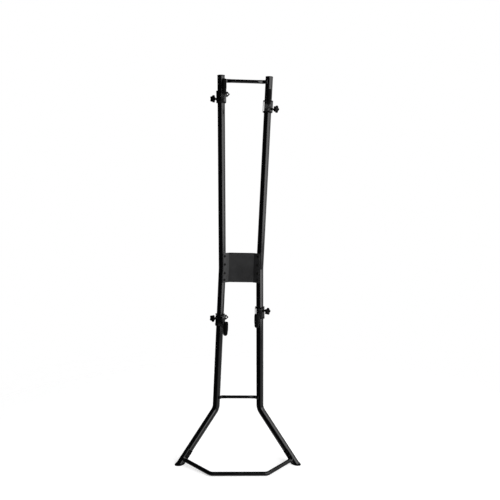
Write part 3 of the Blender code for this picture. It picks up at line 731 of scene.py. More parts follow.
def eased(share: float) -> float:
    """Return a share kept between 0 and 1, with a soft start and end."""
    share = min(max(share, 0.0), 1.0)
    return share * share * (3.0 - 2.0 * share)


def mirrored(rings: Sequence[Ring]) -> list[Ring]:
    """Return a bar's left half rings from its right half ones, in the order that leads to them."""
    return [[Vector((-p.x, p.y, p.z)) for p in points] for points in reversed(rings)]


def folded_sheet(corners: Sequence[Vector], radius: float, sheet: float) -> list[Vector]:
    """Return the outline of sheet metal folded along a flat line.

    Args:
        corners: Ends and corners of the sheet's middle line.
        radius: Radius of each fold.
        sheet: Thickness of the sheet.

    Returns:
        The outline round the sheet.
    """
    path = rounded_path([corner.to_3d() for corner in corners], [radius] * (len(corners) - 2), 8)
    points = [point.xy for point, way in path]
    normals = []
    for index in range(len(points)):
        along = points[min(index + 1, len(points) - 1)] - points[max(index - 1, 0)]
        along.normalize()
        normals.append(Vector((-along.y, along.x)) * (sheet / 2.0))
    first = [point + normal for point, normal in zip(points, normals)]
    second = [point - normal for point, normal in zip(points, normals)]
    return first + second[::-1]


class NodeKit:
    """Geometry Nodes trees that repeat a piece or follow a path, baked to plain meshes."""

    def __init__(self) -> None:
        """Build the trees once."""
        self.sweep = self._sweep_tree()
        self.repeat = self._repeat_tree()
        self.bead = self._bead_tree()

    @staticmethod
    def _begin(name: str, sizes: dict[str, str]) -> tuple[Tree, Node]:
        """Start a tree with named inputs.

        Args:
            name: Name of the tree.
            sizes: Type of each input between the geometry and the material, by name.

        Returns:
            The tree and its input node.
        """
        tree = bpy.data.node_groups.new(name, "GeometryNodeTree")
        for label, kind in {"Geometry": "Geometry", **sizes, "Material": "Material"}.items():
            tree.interface.new_socket(label, in_out="INPUT", socket_type="NodeSocket" + kind)
        tree.interface.new_socket("Geometry", in_out="OUTPUT", socket_type="NodeSocketGeometry")
        return tree, tree.nodes.new("NodeGroupInput")

    @staticmethod
    def _end(tree: Tree, shape: Socket, material: Socket) -> Tree:
        """End a tree in smooth shading, real geometry and its material.

        Args:
            tree: The tree.
            shape: Geometry that it made.
            material: Material that the geometry gets.

        Returns:
            The tree.
        """
        smooth = add_node(tree, "GeometryNodeSetShadeSmooth", {"Geometry": shape})
        real = add_node(tree, "GeometryNodeRealizeInstances", {"Geometry": smooth.outputs[0]})
        finish = {"Geometry": real.outputs[0], "Material": material}
        coated = add_node(tree, "GeometryNodeSetMaterial", finish)
        add_node(tree, "NodeGroupOutput", {0: coated.outputs[0]})
        return tree

    def _sweep_tree(self) -> Tree:
        """Build the tree that pulls a round section along a line of points.

        Returns:
            The tree.
        """
        tree, given = self._begin("swept_tube", {"Radius": "Float", "Sides": "Int"})
        line = add_node(tree, "GeometryNodeMeshToCurve", {"Mesh": given.outputs["Geometry"]})
        sizes = {"Resolution": given.outputs["Sides"], "Radius": given.outputs["Radius"]}
        section = add_node(tree, "GeometryNodeCurvePrimitiveCircle", sizes)
        run = {"Curve": line.outputs[0], "Profile Curve": section.outputs["Curve"], "Fill Caps": True}
        tube = add_node(tree, "GeometryNodeCurveToMesh", run)
        return self._end(tree, tube.outputs[0], given.outputs["Material"])

    def _repeat_tree(self) -> Tree:
        """Build the tree that sets one piece on every point, along the point's outward direction.

        Returns:
            The tree.
        """
        tree, given = self._begin("repeated_piece", {"Piece": "Object"})
        points = add_node(tree, "GeometryNodeMeshToPoints", {"Mesh": given.outputs["Geometry"]})
        outward = add_node(
            tree, "GeometryNodeInputNamedAttribute", {"Name": "outward"}, data_type="FLOAT_VECTOR")
        turn = add_node(
            tree, "FunctionNodeAlignRotationToVector", {"Vector": outward.outputs[0]}, axis="Z")
        piece = add_node(tree, "GeometryNodeObjectInfo", {"Object": given.outputs["Piece"]})
        seats = {"Points": points.outputs[0], "Rotation": turn.outputs[0]}
        seats["Instance"] = piece.outputs["Geometry"]
        copies = add_node(tree, "GeometryNodeInstanceOnPoints", seats)
        return self._end(tree, copies.outputs[0], given.outputs["Material"])

    def _bead_tree(self) -> Tree:
        """Build the tree that lays overlapping weld scales along a line of points.

        Returns:
            The tree.
        """
        tree, given = self._begin("weld_bead", {"Spacing": "Float", "Radius": "Float"})
        line = add_node(tree, "GeometryNodeMeshToCurve", {"Mesh": given.outputs["Geometry"]})
        spacing = {"Curve": line.outputs[0], "Length": given.outputs["Spacing"]}
        even = add_node(tree, "GeometryNodeResampleCurve", spacing, mode="LENGTH")
        size = {"Segments": 12, "Rings": 7, "Radius": given.outputs["Radius"]}
        scale = add_node(tree, "GeometryNodeMeshUVSphere", size)
        laid = {"Points": even.outputs[0], "Instance": scale.outputs["Mesh"]}
        copies = add_node(tree, "GeometryNodeInstanceOnPoints", laid)
        return self._end(tree, copies.outputs[0], given.outputs["Material"])

    @staticmethod
    def line_mesh(points: Sequence[Vector], closed: bool = False) -> Mesh:
        """Make a mesh of points joined by edges.

        Args:
            points: The points.
            closed: True joins the last point to the first.

        Returns:
            The mesh.
        """
        mesh = bpy.data.meshes.new("line")
        count = len(points)
        edges = [(k, (k + 1) % count) for k in range(count if closed else count - 1)]
        mesh.from_pydata([tuple(point) for point in points], edges, [])
        return mesh

    @staticmethod
    def seat_mesh(seats: Sequence[Aim]) -> Mesh:
        """Make a mesh of loose points, each with its outward direction.

        Args:
            seats: Point and outward direction of each seat.

        Returns:
            The mesh.
        """
        mesh = bpy.data.meshes.new("seats")
        mesh.from_pydata([tuple(point) for point, way in seats], [], [])
        outward = mesh.attributes.new("outward", "FLOAT_VECTOR", "POINT")
        outward.data.foreach_set("vector", [value for point, way in seats for value in way])
        return mesh

    @staticmethod
    def bake(tree: Tree, base: Mesh, values: dict) -> Mesh:
        """Run a tree on a mesh and keep the result as a plain mesh.

        Args:
            tree: The Geometry Nodes tree.
            base: Mesh that the tree starts from.
            values: Values by input name.

        Returns:
            The plain mesh.
        """
        helper = linked("helper", base)
        modifier = helper.modifiers.new("nodes", "NODES")
        modifier.node_group = tree
        for item in tree.interface.items_tree:
            if item.item_type == "SOCKET" and item.in_out == "INPUT" and item.name in values:
                modifier[item.identifier] = values[item.name]
        work = bmesh.new()
        work.from_mesh(applied(helper))
        return closed_mesh(work)


@dataclass
class Workshop:
    """What every sub-assembly needs: the finishes and the node trees."""

    finishes: Finishes
    nodes: NodeKit

    def add(self, mesh: Mesh, slot: Slot, body: str, replaces: Sequence[str], name: str,
            finish: Material | None = None) -> None:
        """Put a finished mesh in the scene as a piece of the rack.

        Args:
            mesh: Mesh in world place.
            slot: Material slot that it belongs to.
            body: Body that it moves with.
            replaces: Solids that it stands for.
            name: Name of the piece.
            finish: Finish in place of the slot's usual one.
        """
        mesh.materials.clear()
        mesh.materials.append(finish or self.finishes.of(slot))
        mesh.polygons.foreach_set("material_index", [0] * len(mesh.polygons))
        mesh.name = name
        piece = linked(name, mesh)
        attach(piece, body)
        if replaces:
            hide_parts(*replaces)
        LOG.info("%s: %d faces on %s", name, len(mesh.polygons), body)

    def tube(self, points: Sequence[Vector], radius: float, sides: int) -> Mesh:
        """Return a round bar swept along points."""
        values = {"Radius": radius, "Sides": sides, "Material": self.finishes.steel}
        return self.nodes.bake(self.nodes.sweep, self.nodes.line_mesh(points), values)

    def bead(self, points: Sequence[Vector], spacing: float, radius: float, closed: bool) -> Mesh:
        """Return a weld bead laid along points."""
        values = {"Spacing": spacing, "Radius": radius, "Material": self.finishes.steel}
        return self.nodes.bake(self.nodes.bead, self.nodes.line_mesh(points, closed), values)

    def repeated(self, piece: Mesh, seats: Sequence[Aim]) -> Mesh:
        """Set a copy of a piece on each seat.

        Args:
            piece: The piece, pointing along Z.
            seats: Point and outward direction of each seat.

        Returns:
            The copies as one mesh.
        """
        model = linked("model", piece)
        values = {"Piece": model, "Material": self.finishes.steel}
        mesh = self.nodes.bake(self.nodes.repeat, self.nodes.seat_mesh(seats), values)
        bpy.data.objects.remove(model, do_unlink=True)
        return mesh


@dataclass(frozen=True)
class Layout:
    """Sizes and centre lines of the frame, as in the solid model."""

    upright_y: float = 0.13625
    gap: float = 0.0003
    tube_radius: float = 0.0200
    top_z: float = 2.1040
    top_half: float = 0.1294
    joint_z: float = 1.0600
    joint_half: float = 0.1038
    bend_z: float = 0.2600
    bend_half: float = 0.1246
    bend_radius: float = 0.055
    foot_half: float = 0.3196
    foot_forward: float = 0.1590
    sole: float = 0.008
    tab_inward: float = 0.42
    tab_forward: float = 0.87
    tab_upward: float = 0.25

    def upright(self, side: int, height: float) -> Vector:
        """Return a point on an upright's centre line.

        Args:
            side: -1 for the left upright, 1 for the right one.
            height: Height of the point.

        Returns:
            The point.
        """
        upper = height >= self.joint_z
        end_z = self.top_z if upper else self.bend_z
        end_half = self.top_half if upper else self.bend_half
        share = (height - self.joint_z) / (end_z - self.joint_z)
        half = self.joint_half + share * (end_half - self.joint_half)
        return Vector((side * half, self.upright_y, height))

    def upward(self, side: int, height: float) -> Vector:
        """Return the upward direction of an upright at a height."""
        low, high = sorted((self.joint_z, self.top_z if height >= self.joint_z else self.bend_z))
        return (self.upright(side, high) - self.upright(side, low)).normalized()

    def standing(self, side: int, height: float) -> Matrix:
        """Return a place on an upright's centre line, with Z along the tube."""
        lean = Matrix.Rotation(math.atan2(*self.upward(side, height).xz), 4, "Y")
        return Matrix.Translation(self.upright(side, height)) @ lean

    def foot(self, side: int) -> Vector:
        """Return where a leg's centre line meets the floor."""
        return Vector((side * self.foot_half, self.upright_y - self.foot_forward, 0.0))

    def leg_way(self, side: int) -> Vector:
        """Return the direction from a leg's bend to its foot."""
        return (self.foot(side) - self.upright(side, self.bend_z)).normalized()

    def leg(self, side: int, height: float) -> Vector:
        """Return the point on a leg's centre line at a height."""
        way = self.leg_way(side)
        return self.foot(side) + way * (height / way.z)

    def inner_front(self, side: int, angle: float) -> Vector:
        """Return the level direction from an upright, turned from the front to the rack's middle."""
        return Vector((-side * math.sin(angle), -math.cos(angle), 0.0))

    def bolt_seats(self, side: int, heights: Sequence[float], angle: float, clearance: float) -> list[Aim]:
        """Return bolt seats on an upright's inner front."""
        way = self.inner_front(side, angle)
        return [(self.upright(side, z) + way * (self.tube_radius + clearance), way) for z in heights]

    def tab_normal(self, side: int) -> Vector:
        """Return the direction that the front bar's tab faces: forwards, inwards, square to the leg."""
        facing = Vector((-self.tab_inward * side, -self.tab_forward, self.tab_upward))
        return square_to(facing, self.leg_way(side))


@dataclass(frozen=True)
class ButtonBolt:
    """A button head with its hexagon socket on a thin washer, its seat at height 0, along Z."""

    head: float
    height: float
    washer: float = 0.0010
    edge: float = 0.0002
    cap_share: float = 0.86
    dome_share: float = 0.58
    socket_share: float = 0.36
    socket_floor: float = 0.42
    socket_rim: float = 1.10
    socket_edge: float = 0.0003
    count: int = 48

    def mesh(self) -> Mesh:
        """Make the bolt.

        Returns:
            The closed mesh.
        """
        head = self.head
        cap = head * self.cap_share
        dome = self.washer + 2.0 * self.edge
        profile = [(head * 0.5, -self.edge), (head - self.edge, 0.0), (head, self.edge)]
        profile += [(head, self.washer - self.edge), (head - self.edge, self.washer), (cap, self.washer)]
        profile += shoulder(cap, dome, self.dome_share * cap, self.height - dome, 7)[:-1]
        rings = [level_ring([radius] * self.count, height) for radius, height in profile]
        sixth = math.radians(60.0)
        flats = [1.0 / math.cos(angle % sixth - sixth / 2.0) for angle in angles_round(self.count)]
        reach = head * self.socket_share
        rim = self.height - self.socket_edge
        floor = self.height * self.socket_floor
        for height, grow in ((self.height, self.socket_rim), (rim, 1.0), (floor, 1.0)):
            rings.append(level_ring([reach * grow * flat for flat in flats], height))
        return loft(rings)


PLATE_BOLT = ButtonBolt(0.0068, 0.0042)
FLOOR_BOLT = ButtonBolt(0.0062, 0.0040)
PAD_SCREW = ButtonBolt(0.0042, 0.0028)


@dataclass
class Assembly:
    """What every sub-assembly has: the frame's layout and the workshop."""

    layout: Layout
    shop: Workshop

    def set_bolts(self, bolt: ButtonBolt, seats: Sequence[Aim], replaces: Sequence[str], name: str) -> None:
        """Set a bolt on every seat, all as one piece."""
        bolts = self.shop.repeated(bolt.mesh(), seats)
        self.shop.add(bolts, Slot.STEEL, "root", replaces, name, self.shop.finishes.bolt)


@dataclass
class Uprights(Assembly):
    """The two uprights: straight upper halves and bent lower halves, with caps and feet."""

    sides: int = 72
    end_slack: float = 2e-5
    wall: float = 0.0018
    edge: float = 0.0005
    edge_degrees: float = 60.0

    # The cap: its groove's points are how far in from the rim and how deep they lie.
    cap_crown: float = 0.0030
    cap_lip: float = 0.0006
    cap_depth: float = 0.016
    cap_side: float = 0.0010
    cap_round_in: float = 0.0020
    cap_round_up: float = 0.0018
    cap_groove: tuple[Pair, ...] = (
        (0.0056, 0.0001), (0.0060, 0.0005), (0.0072, 0.0005), (0.0076, 0.0001))
    cap_middle: float = 0.004

    # The foot's sections: their heights, and how far they stand past the tube.
    foot_levels: tuple[Pair, ...] = (
        (0.0, -0.0008), (0.0, 0.0010), (0.0006, 0.0018), (0.0016, 0.0022), (0.0030, 0.0022),
        (0.0034, 0.0017), (0.0040, 0.0017), (0.0044, 0.0022), (0.0064, 0.0022), (0.0074, 0.0016),
        (0.0080, 0.0008), (0.0080, -0.0024), (0.0260, -0.0024))

    def slide_end(self, mesh: Mesh, end: Vector, way: Vector, height: float) -> None:
        """Cut a swept end level by sliding its rim along the tube.

        Args:
            mesh: Swept tube.
            end: Middle of the end face.
            way: Direction of the tube at that end.
            height: Height at which the end is cut level.
        """
        for vertex in mesh.vertices:
            offset = vertex.co - end
            in_face = abs(offset.dot(way)) < self.end_slack
            if in_face and offset.length < 1.5 * self.layout.tube_radius:
                vertex.co += way * ((height - vertex.co.z) / way.z)

    def build(self) -> None:
        """Build both uprights."""
        lay = self.layout
        for side, label in SIDES:
            joint = lay.upright(side, lay.joint_z)
            top = lay.upright(side, lay.top_z - self.cap_crown - lay.gap)
            # A section close to each end keeps the slanted strip that the level cut makes short.
            run = [joint.lerp(top, share) for share in (0.0, 0.004, 0.5, 0.996, 1.0)]
            upper = self.shop.tube(run, lay.tube_radius, self.sides)
            self.slide_end(upper, joint, lay.upward(side, lay.top_z), lay.joint_z + lay.gap / 2.0)
            upper = softened(upper, self.edge, 2, self.edge_degrees)
            self.shop.add(upper, Slot.STEEL, "root", ["upper_tube_" + label], "upright_upper_" + label)

            path = rounded_path([joint, lay.upright(side, lay.bend_z), lay.foot(side)], [lay.bend_radius], 20)
            lower = self.shop.tube([point for point, way in path], lay.tube_radius, self.sides)
            self.slide_end(lower, *path[0], lay.joint_z - lay.gap / 2.0)
            self.slide_end(lower, *path[-1], lay.sole + lay.gap)
            lower = softened(lower, self.edge, 2, self.edge_degrees)
            self.shop.add(lower, Slot.STEEL, "root", ["lower_tube_" + label], "upright_lower_" + label)
            self.build_cap(side, label)
            self.build_foot(side, label)

    def build_cap(self, side: int, label: str) -> None:
        """Build the push-in cap on a tube's top, with its moulded ring.

        Args:
            side: -1 for the left upright, 1 for the right one.
            label: The side's part of each name.
        """
        lay = self.layout
        rim = lay.tube_radius + self.cap_lip
        bore = lay.tube_radius - self.wall - lay.gap
        crown = self.cap_crown
        profile = [(0.0, -self.cap_depth), (bore, -self.cap_depth), (bore, 0.0), (rim, 0.0)]
        profile += shoulder(rim, self.cap_side, self.cap_round_in, self.cap_round_up, 6)
        profile += [(rim - inwards, crown - deep) for inwards, deep in self.cap_groove]
        profile += [(self.cap_middle, crown), (0.0, crown)]
        seat = lay.upright(side, lay.top_z - crown)
        cap = placed(turned(profile, 64), aimed(seat, lay.upward(side, lay.top_z)))
        self.shop.add(cap, Slot.PLASTIC, "root", ["tube_cap_" + label], "top_cap_" + label)

    def build_foot(self, side: int, label: str) -> None:
        """Build the foot in a leg's end: an oval sole with a grooved edge.

        Args:
            side: -1 for the left leg, 1 for the right one.
            label: The side's part of each name.
        """
        lay = self.layout
        way = lay.leg_way(side)
        across = Z_AXIS.cross(way).normalized()
        over = way.cross(across).normalized()
        rings = []
        for height, margin in self.foot_levels:
            radius = lay.tube_radius + margin
            points = ring(lay.foot(side), across, over, radius, radius, count=64)
            rings.append([point + way * ((height - point.z) / way.z) for point in points])
        self.shop.add(loft(rings), Slot.PLASTIC, "root", ["foot_boot_" + label], "foot_" + label)


@dataclass
class JointPlate(Assembly):
    """The folded plate that ties the upright halves together, with its eight bolts."""

    low: float = 0.9840
    high: float = 1.1490
    sheet: float = 0.003
    fold_radius: float = 0.006
    band: float = 0.0085
    set_back: float = 0.005
    seat_angle: float = math.radians(36.0)
    margin: float = 0.010
    fold_inset: float = 0.0347
    edge: float = 0.0006
    bolt_heights: tuple[float, ...] = (0.9990, 1.0370, 1.0850, 1.1310)

    def section(self, height: float, set_back: float) -> Ring:
        """Return the plate's outline at a height.

        Args:
            height: Height of the section.
            set_back: How far the middle field is set back.

        Returns:
            The outline's points.
        """
        lay = self.layout
        half = lay.upright(1, height).x
        along = Vector((math.cos(self.seat_angle), -math.sin(self.seat_angle)))
        reach = lay.tube_radius + lay.gap + self.sheet / 2.0
        contact = lay.inner_front(1, self.seat_angle).xy * reach
        contact.x += half
        flange = (contact.x - half + self.fold_inset) / along.x + set_back / math.sin(self.seat_angle)
        outer = contact + along * self.margin
        fold = contact - along * flange
        corners = [outer, fold, Vector((-fold.x, fold.y)), Vector((-outer.x, outer.y))]
        outline = folded_sheet(corners, self.fold_radius, self.sheet)
        return [Vector((point.x, point.y + lay.upright_y, height)) for point in outline]

    def build(self) -> None:
        """Build the plate and its bolts."""
        shares = [step / 6 for step in range(7)]
        band = [(self.band * share, self.set_back * (1.0 - math.sin(QUARTER * share))) for share in shares]
        rings = [self.section(self.low + rise, back) for rise, back in band]
        rings.append(self.section(self.layout.joint_z, 0.0))
        rings += [self.section(self.high - rise, back) for rise, back in reversed(band)]
        plate = softened(loft(rings), self.edge, 2, 50.0)
        # This finish's dark grey colour is painted sheen over a black coat.
        finish = self.shop.finishes.plate
        self.shop.add(plate, Slot.STEEL, "root", ["joint_plate"], "joint_plate_pressed", finish)
        seats = []
        names = []
        for side, label in SIDES:
            clearance = self.sheet + 2.0 * self.layout.gap
            seats += self.layout.bolt_seats(side, self.bolt_heights, self.seat_angle, clearance)
            names += [f"joint_bolt_{label}_{number}" for number in range(1, 5)]
        self.set_bolts(PLATE_BOLT, seats, names, "joint_bolts")


@dataclass
class FlattenedBar(Assembly):
    """What the crossbars and the front bar share: round bar whose ends are pressed into flat tabs."""

    tab_half: float = 0.0025
    tab_square: float = 0.62
    tab_edge: float = 0.0008
    tab_degrees: float = 60.0
    sides: int = 56

    def section(self, centre: Vector, side: Vector, up: Vector, radius: float, flat: float,
                widening: float) -> Ring:
        """Return the bar's section at a point.

        Args:
            centre: Middle of the section.
            side: Unit direction in which the bar gets thinner.
            up: Unit direction in which it gets wider.
            radius: Radius of the round bar.
            flat: 0 where the bar is round, 1 where it is a tab.
            widening: How much wider the tab is than the bar.

        Returns:
            The section's points.
        """
        thick = radius + (self.tab_half - radius) * flat
        wide = radius * (1.0 + widening * flat)
        return ring(centre, side, up, thick, wide, 1.0 - self.tab_square * flat, self.sides)

    def add_bar(self, rings: Sequence[Ring], node: str, name: str) -> None:
        """Round the tab ends of a lofted bar and add it."""
        bar = softened(loft(rings), self.tab_edge, 3, self.tab_degrees)
        self.shop.add(bar, Slot.STEEL, "root", [node], name)


@dataclass
class Crossbars(FlattenedBar):
    """The thin bars at the top and the bottom, with flattened ends and their bolts."""

    tab_length: float = 0.008
    forward: float = 0.004
    fold_radius: float = 0.014
    straight: float = 0.060
    flat_start: float = 0.028
    flat_run: float = 0.024
    widening: float = 0.06
    ring_spacing: float = 0.002
    seat_angle: float = math.radians(45.0)
    levels: tuple[tuple[str, float, float], ...] = (("upper", 2.0740, 0.0095), ("lower", 0.3270, 0.0087))

    def half_rings(self, height: float, radius: float) -> list[Ring]:
        """Return the rings of a bar's right half, from near the middle to its flattened tip.

        Args:
            height: Height of the bar.
            radius: Radius of the bar.

        Returns:
            The rings.
        """
        lay = self.layout
        contact = lay.inner_front(1, self.seat_angle) * (lay.tube_radius + lay.gap + self.tab_half)
        contact.x += lay.upright(1, height).x
        along = Vector((math.cos(self.seat_angle), -math.sin(self.seat_angle), 0.0))
        fold = contact + along * ((contact.y + self.forward) / math.sin(self.seat_angle))
        corners = [fold - X_AXIS * self.straight, fold, contact + along * self.tab_length]
        origin = Vector((0.0, lay.upright_y, height))
        rings = []
        for point, way, walked in stepped(rounded_path(corners, [self.fold_radius]), self.ring_spacing):
            flat = eased((walked - self.flat_start) / self.flat_run)
            side = Z_AXIS.cross(way).normalized()
            rings.append(self.section(point + origin, side, Z_AXIS, radius, flat, self.widening))
        return rings

    def build(self) -> None:
        """Build both bars and their bolts."""
        seats = []
        names = []
        for level, height, radius in self.levels:
            right = self.half_rings(height, radius)
            self.add_bar(mirrored(right) + right, "crossbar_" + level, "cross_bar_" + level)
            for side, label in SIDES:
                clearance = 2.0 * self.tab_half + 2.0 * self.layout.gap
                seats += self.layout.bolt_seats(side, [height], self.seat_angle, clearance)
                names.append(f"crossbar_bolt_{level}_{label}")
        self.set_bolts(PLATE_BOLT, seats, names, "cross_bar_bolts")


@dataclass
class FrontBar(FlattenedBar):
    """The bent bar on the floor in front, with a flattened tab bolted to each leg."""

    radius: float = 0.011
    corner_x: float = 0.1500
    corner_radius: float = 0.035
    tab_bend_radius: float = 0.012
    forward: float = 0.2985
    tab_low: float = 0.026
    tab_high: float = 0.066
    tab_drop: float = 0.004
    flat_length: float = 0.048
    flat_run: float = 0.030
    widening: float = 0.25
    ring_spacing: float = 0.004
    bolt_heights: Pair = (0.041, 0.056)

    def half_rings(self) -> list[Ring]:
        """Return the rings of the bar's right half, from its middle to the tip of its tab.

        Returns:
            The rings.
        """
        lay = self.layout
        normal = lay.tab_normal(1)
        reach = normal * (lay.tube_radius + lay.gap + self.tab_half)
        low = lay.leg(1, self.tab_low) + reach + lay.leg_way(1) * self.tab_drop
        middle = Vector((0.0, lay.upright_y - self.forward, self.radius))
        bend = Vector((self.corner_x, middle.y, middle.z))
        corners = [middle, bend, low, lay.leg(1, self.tab_high) + reach]
        path = rounded_path(corners, [self.corner_radius, self.tab_bend_radius], 14)
        steps = stepped(path, self.ring_spacing)
        flat_start = steps[-1][2] - self.flat_length - self.flat_run
        rings: list[Ring] = []
        for point, heading, walked in steps:
            flat = eased((walked - flat_start) / self.flat_run)
            side = square_to(normal if flat > 0.0 else Y_AXIS, heading)
            up = heading.cross(side).normalized()
            points = self.section(point, side, up, self.radius, flat, self.widening)
            rings.append(self.lined_up(rings[-1], points) if rings else points)
        return rings

    @staticmethod
    def lined_up(previous: Ring, points: Ring) -> Ring:
        """Start a ring at the point nearest to the start of the ring before it.

        Args:
            previous: The ring before it.
            points: The ring.

        Returns:
            The ring's points in the new order.
        """
        count = len(points)
        spans = []
        for shift in range(count):
            spans.append(sum((points[(k + shift) % count] - previous[k]).length for k in range(0, count, 4)))
        best = spans.index(min(spans))
        return points[best:] + points[:best]

    def build(self) -> None:
        """Build the bar and its bolts."""
        lay = self.layout
        right = self.half_rings()
        self.add_bar(mirrored(right[1:]) + right, "front_bar", "front_floor_bar")
        seats = []
        names = []
        for side, label in SIDES:
            normal = lay.tab_normal(side)
            reach = lay.tube_radius + 2.0 * self.tab_half + 2.0 * lay.gap
            seats += [(lay.leg(side, height) + normal * reach, normal) for height in self.bolt_heights]
            names += [f"front_bar_bolt_{label}_{number}" for number in (1, 2)]
        self.set_bolts(FLOOR_BOLT, seats, names, "front_bar_bolts")


@dataclass
class WallPads(Assembly):
    """Rubber pads behind the tube tops, each held by one screw."""

    height: float = 2.0820
    half_width: float = 0.015
    half_tall: float = 0.016
    face: float = 0.0372
    edge: float = 0.0010
    screw_depth: float = 0.0303
    hole_start: float = 0.050
    hole_length: float = 0.020
    hole_radius: float = 0.0047

    def build(self) -> None:
        """Build both pads and their screws."""
        lay = self.layout
        for side, label in SIDES:
            place = lay.standing(side, self.height)
            saddle = lay.tube_radius + lay.gap
            outline = [(-self.half_width, self.face), (self.half_width, self.face)]
            start = math.acos(self.half_width / saddle)
            for step in range(17):
                angle = start + (math.pi - 2.0 * start) * step / 16.0
                outline.append((saddle * math.cos(angle), saddle * math.sin(angle)))
            pad = prism(outline, -self.half_tall, self.half_tall)
            pad = drilled(pad, Y_AXIS * self.hole_start, -Y_AXIS, self.hole_length, self.hole_radius)
            pad = placed(softened(pad, self.edge, 3, 40.0), place)
            self.shop.add(pad, Slot.RUBBER, "root", ["wall_pad_" + label], "wall_bumper_" + label)
            screw = placed(PAD_SCREW.mesh(), place @ aimed(Y_AXIS * self.screw_depth, Y_AXIS))
            replaces = ["wall_pad_screw_" + label]
            self.shop.add(screw, Slot.ZINC, "root", replaces, "wall_bumper_screw_" + label)


@dataclass
class Carriage(Assembly):
    """One sliding carriage: bracket, bush, arm with sleeve and cap, and the clamp with its knob."""

    level: str
    side: int
    height: float
    swing: float

    # The bracket: flanges, inner wall and folded web.
    sheet: float = 0.003
    half_height: float = 0.030
    half_width: float = 0.027
    flange_back: float = 0.0265
    flange_front: float = 0.0300
    flange_bore: float = 0.0230
    flange_power: int = 8
    edge: float = 0.0005
    fine_edge: float = 0.0006
    wall_inside: float = -0.0240
    wall_outside: float = -0.0268
    wall_half: float = 0.018
    wall_overlap: float = 0.0002
    clamp_angle: float = math.radians(50.0)
    clamp_height: float = -0.014
    web_distance: float = 0.0270
    web_tip: float = 0.0258
    web_fold: float = 0.0045
    web_edge_left: float = -0.0262
    web_edge_right: float = -0.0190
    front_web: float = 0.0274

    # The lock lug of the left brackets.
    lug_outline: tuple[Pair, ...] = (
        (0.0065, 0.0095), (0.0, 0.016), (-0.016, 0.0), (0.0, -0.016), (0.0065, -0.0095))
    lug_x: float = -0.0315
    lug_z: float = 0.0145
    lug_hole_x: float = -0.0030
    lug_hole_radius: float = 0.0030

    # The clamp: weld nut, pad, stud and knob. A knob level is a radius, a height and how far the
    # lobes are formed there.
    nut_flats: float = 0.013
    nut_height: float = 0.0068
    nut_sunk: float = 0.0003
    pad_profile: tuple[Pair, ...] = (
        (0.0, 0.0), (0.0054, 0.0), (0.0060, 0.0006), (0.0060, 0.0013), (0.0054, 0.0019), (0.0, 0.0019))
    stud_radius: float = 0.004
    stud_clearance: float = 0.0022
    stud_end: float = -0.0115
    thread_pitch: float = 0.00125
    thread_depth: float = 0.00062
    taper_length: float = 0.0008
    taper_depth: float = 0.0006
    thread_degrees: float = 80.0
    knob_distance: float = 0.058
    knob_radius: float = 0.020
    knob_lobes: int = 5
    lobe_depth: float = 0.14
    knob_back: float = -0.0040
    knob_back_round: float = 0.0020
    knob_front: float = 0.0028
    knob_front_round: float = 0.0036
    knob_degrees: float = 48.0
    knob_hub: tuple[tuple[float, float, float], ...] = (
        (0.0070, -0.0120, 0.0), (0.0075, -0.0116, 0.0), (0.0082, -0.0075, 0.0),
        (0.0092, -0.0062, 0.0), (0.0130, -0.0060, 0.35))
    knob_dish: tuple[tuple[float, float, float], ...] = (
        (0.0120, 0.0062, 0.45), (0.0098, 0.0056, 0.1), (0.0090, 0.0052, 0.0),
        (0.0040, 0.0050, 0.0), (0.0010, 0.0050, 0.0))

    # The arm: its tube, root plate, welds, sleeve and cap.
    arm_radius: float = 0.0095
    arm_x: float = -0.007
    arm_z: float = -0.009
    arm_start: float = 0.0325
    arm_reach: float = 0.2965
    hook_radius: float = 0.014
    tip_height: float = 0.060
    root_half_width: float = 0.012
    root_half_height: float = 0.0235
    root_thickness: float = 0.0035
    weld_spacing: float = 0.0016
    weld_loop: float = 0.0102
    weld_loop_radius: float = 0.0016
    weld_half: float = 0.0105
    weld_z: float = 0.0236
    weld_radius: float = 0.0015
    weld_out: float = 0.0010
    weld_loop_out: float = 0.0006
    sleeve_radius: float = 0.0115
    sleeve_start: float = 0.046
    sleeve_roll: tuple[Pair, ...] = ((0.0, 0.0012), (0.0004, 0.0004), (0.0012, 0.0))
    cap_radius: float = 0.0125
    cap_edge: tuple[Pair, ...] = ((0.0012, 0.0003), (0.0006, 0.0008), (0.0002, 0.0024), (0.0, 0.0050))
    cap_taper: tuple[Pair, ...] = ((0.0, 0.55), (0.0004, 0.8))
    cap_shoulder: float = 0.0012
    cap_flat: float = 0.003
    cap_offset: float = 0.001
    cap_round_in: float = 0.0050
    cap_round_up: float = 0.0054

    # The bush: radius and height past the bracket's end of each point, and its rib's radii.
    bush_profile: tuple[Pair, ...] = (
        (0.0206, -0.0045), (0.0222, -0.0045), (0.0222, 0.0003), (0.0251, 0.0003), (0.0254, 0.0006),
        (0.0254, 0.0016), (0.0250, 0.0022), (0.0244, 0.0024), (0.0212, 0.0024), (0.0206, 0.0018))
    rib_inside: float = 0.0208
    rib_outside: float = 0.0218
    rib_inset: float = 0.0040

    @property
    def label(self) -> str:
        """Return the carriage's part of each name."""
        return self.level + ("_left" if self.side < 0 else "_right")

    @property
    def flip(self) -> int:
        """Return -1 where the bracket is upside down."""
        return 1 if self.level == "upper" else -1

    @property
    def root_face(self) -> float:
        """Return the Y of the arm's root plate where it meets the bracket's front web."""
        return -(self.front_web + self.sheet + self.layout.gap)

    @property
    def cap_seat(self) -> Vector:
        """Return the point on the upturned tip where the sleeve ends and the cap begins."""
        height = self.arm_z + self.hook_radius + self.cap_offset
        return Vector((self.side * self.arm_x, -self.arm_reach, height))

    def handed(self, mesh: Mesh) -> Mesh:
        """Turn a right hand bracket part into this carriage's form.

        Args:
            mesh: The part for the upper right carriage.

        Returns:
            The same mesh, mirrored where it has to be.
        """
        mesh.transform(Matrix.Diagonal((self.side, 1.0, self.flip, 1.0)))
        if self.side * self.flip < 0:
            mesh.flip_normals()
        return mesh

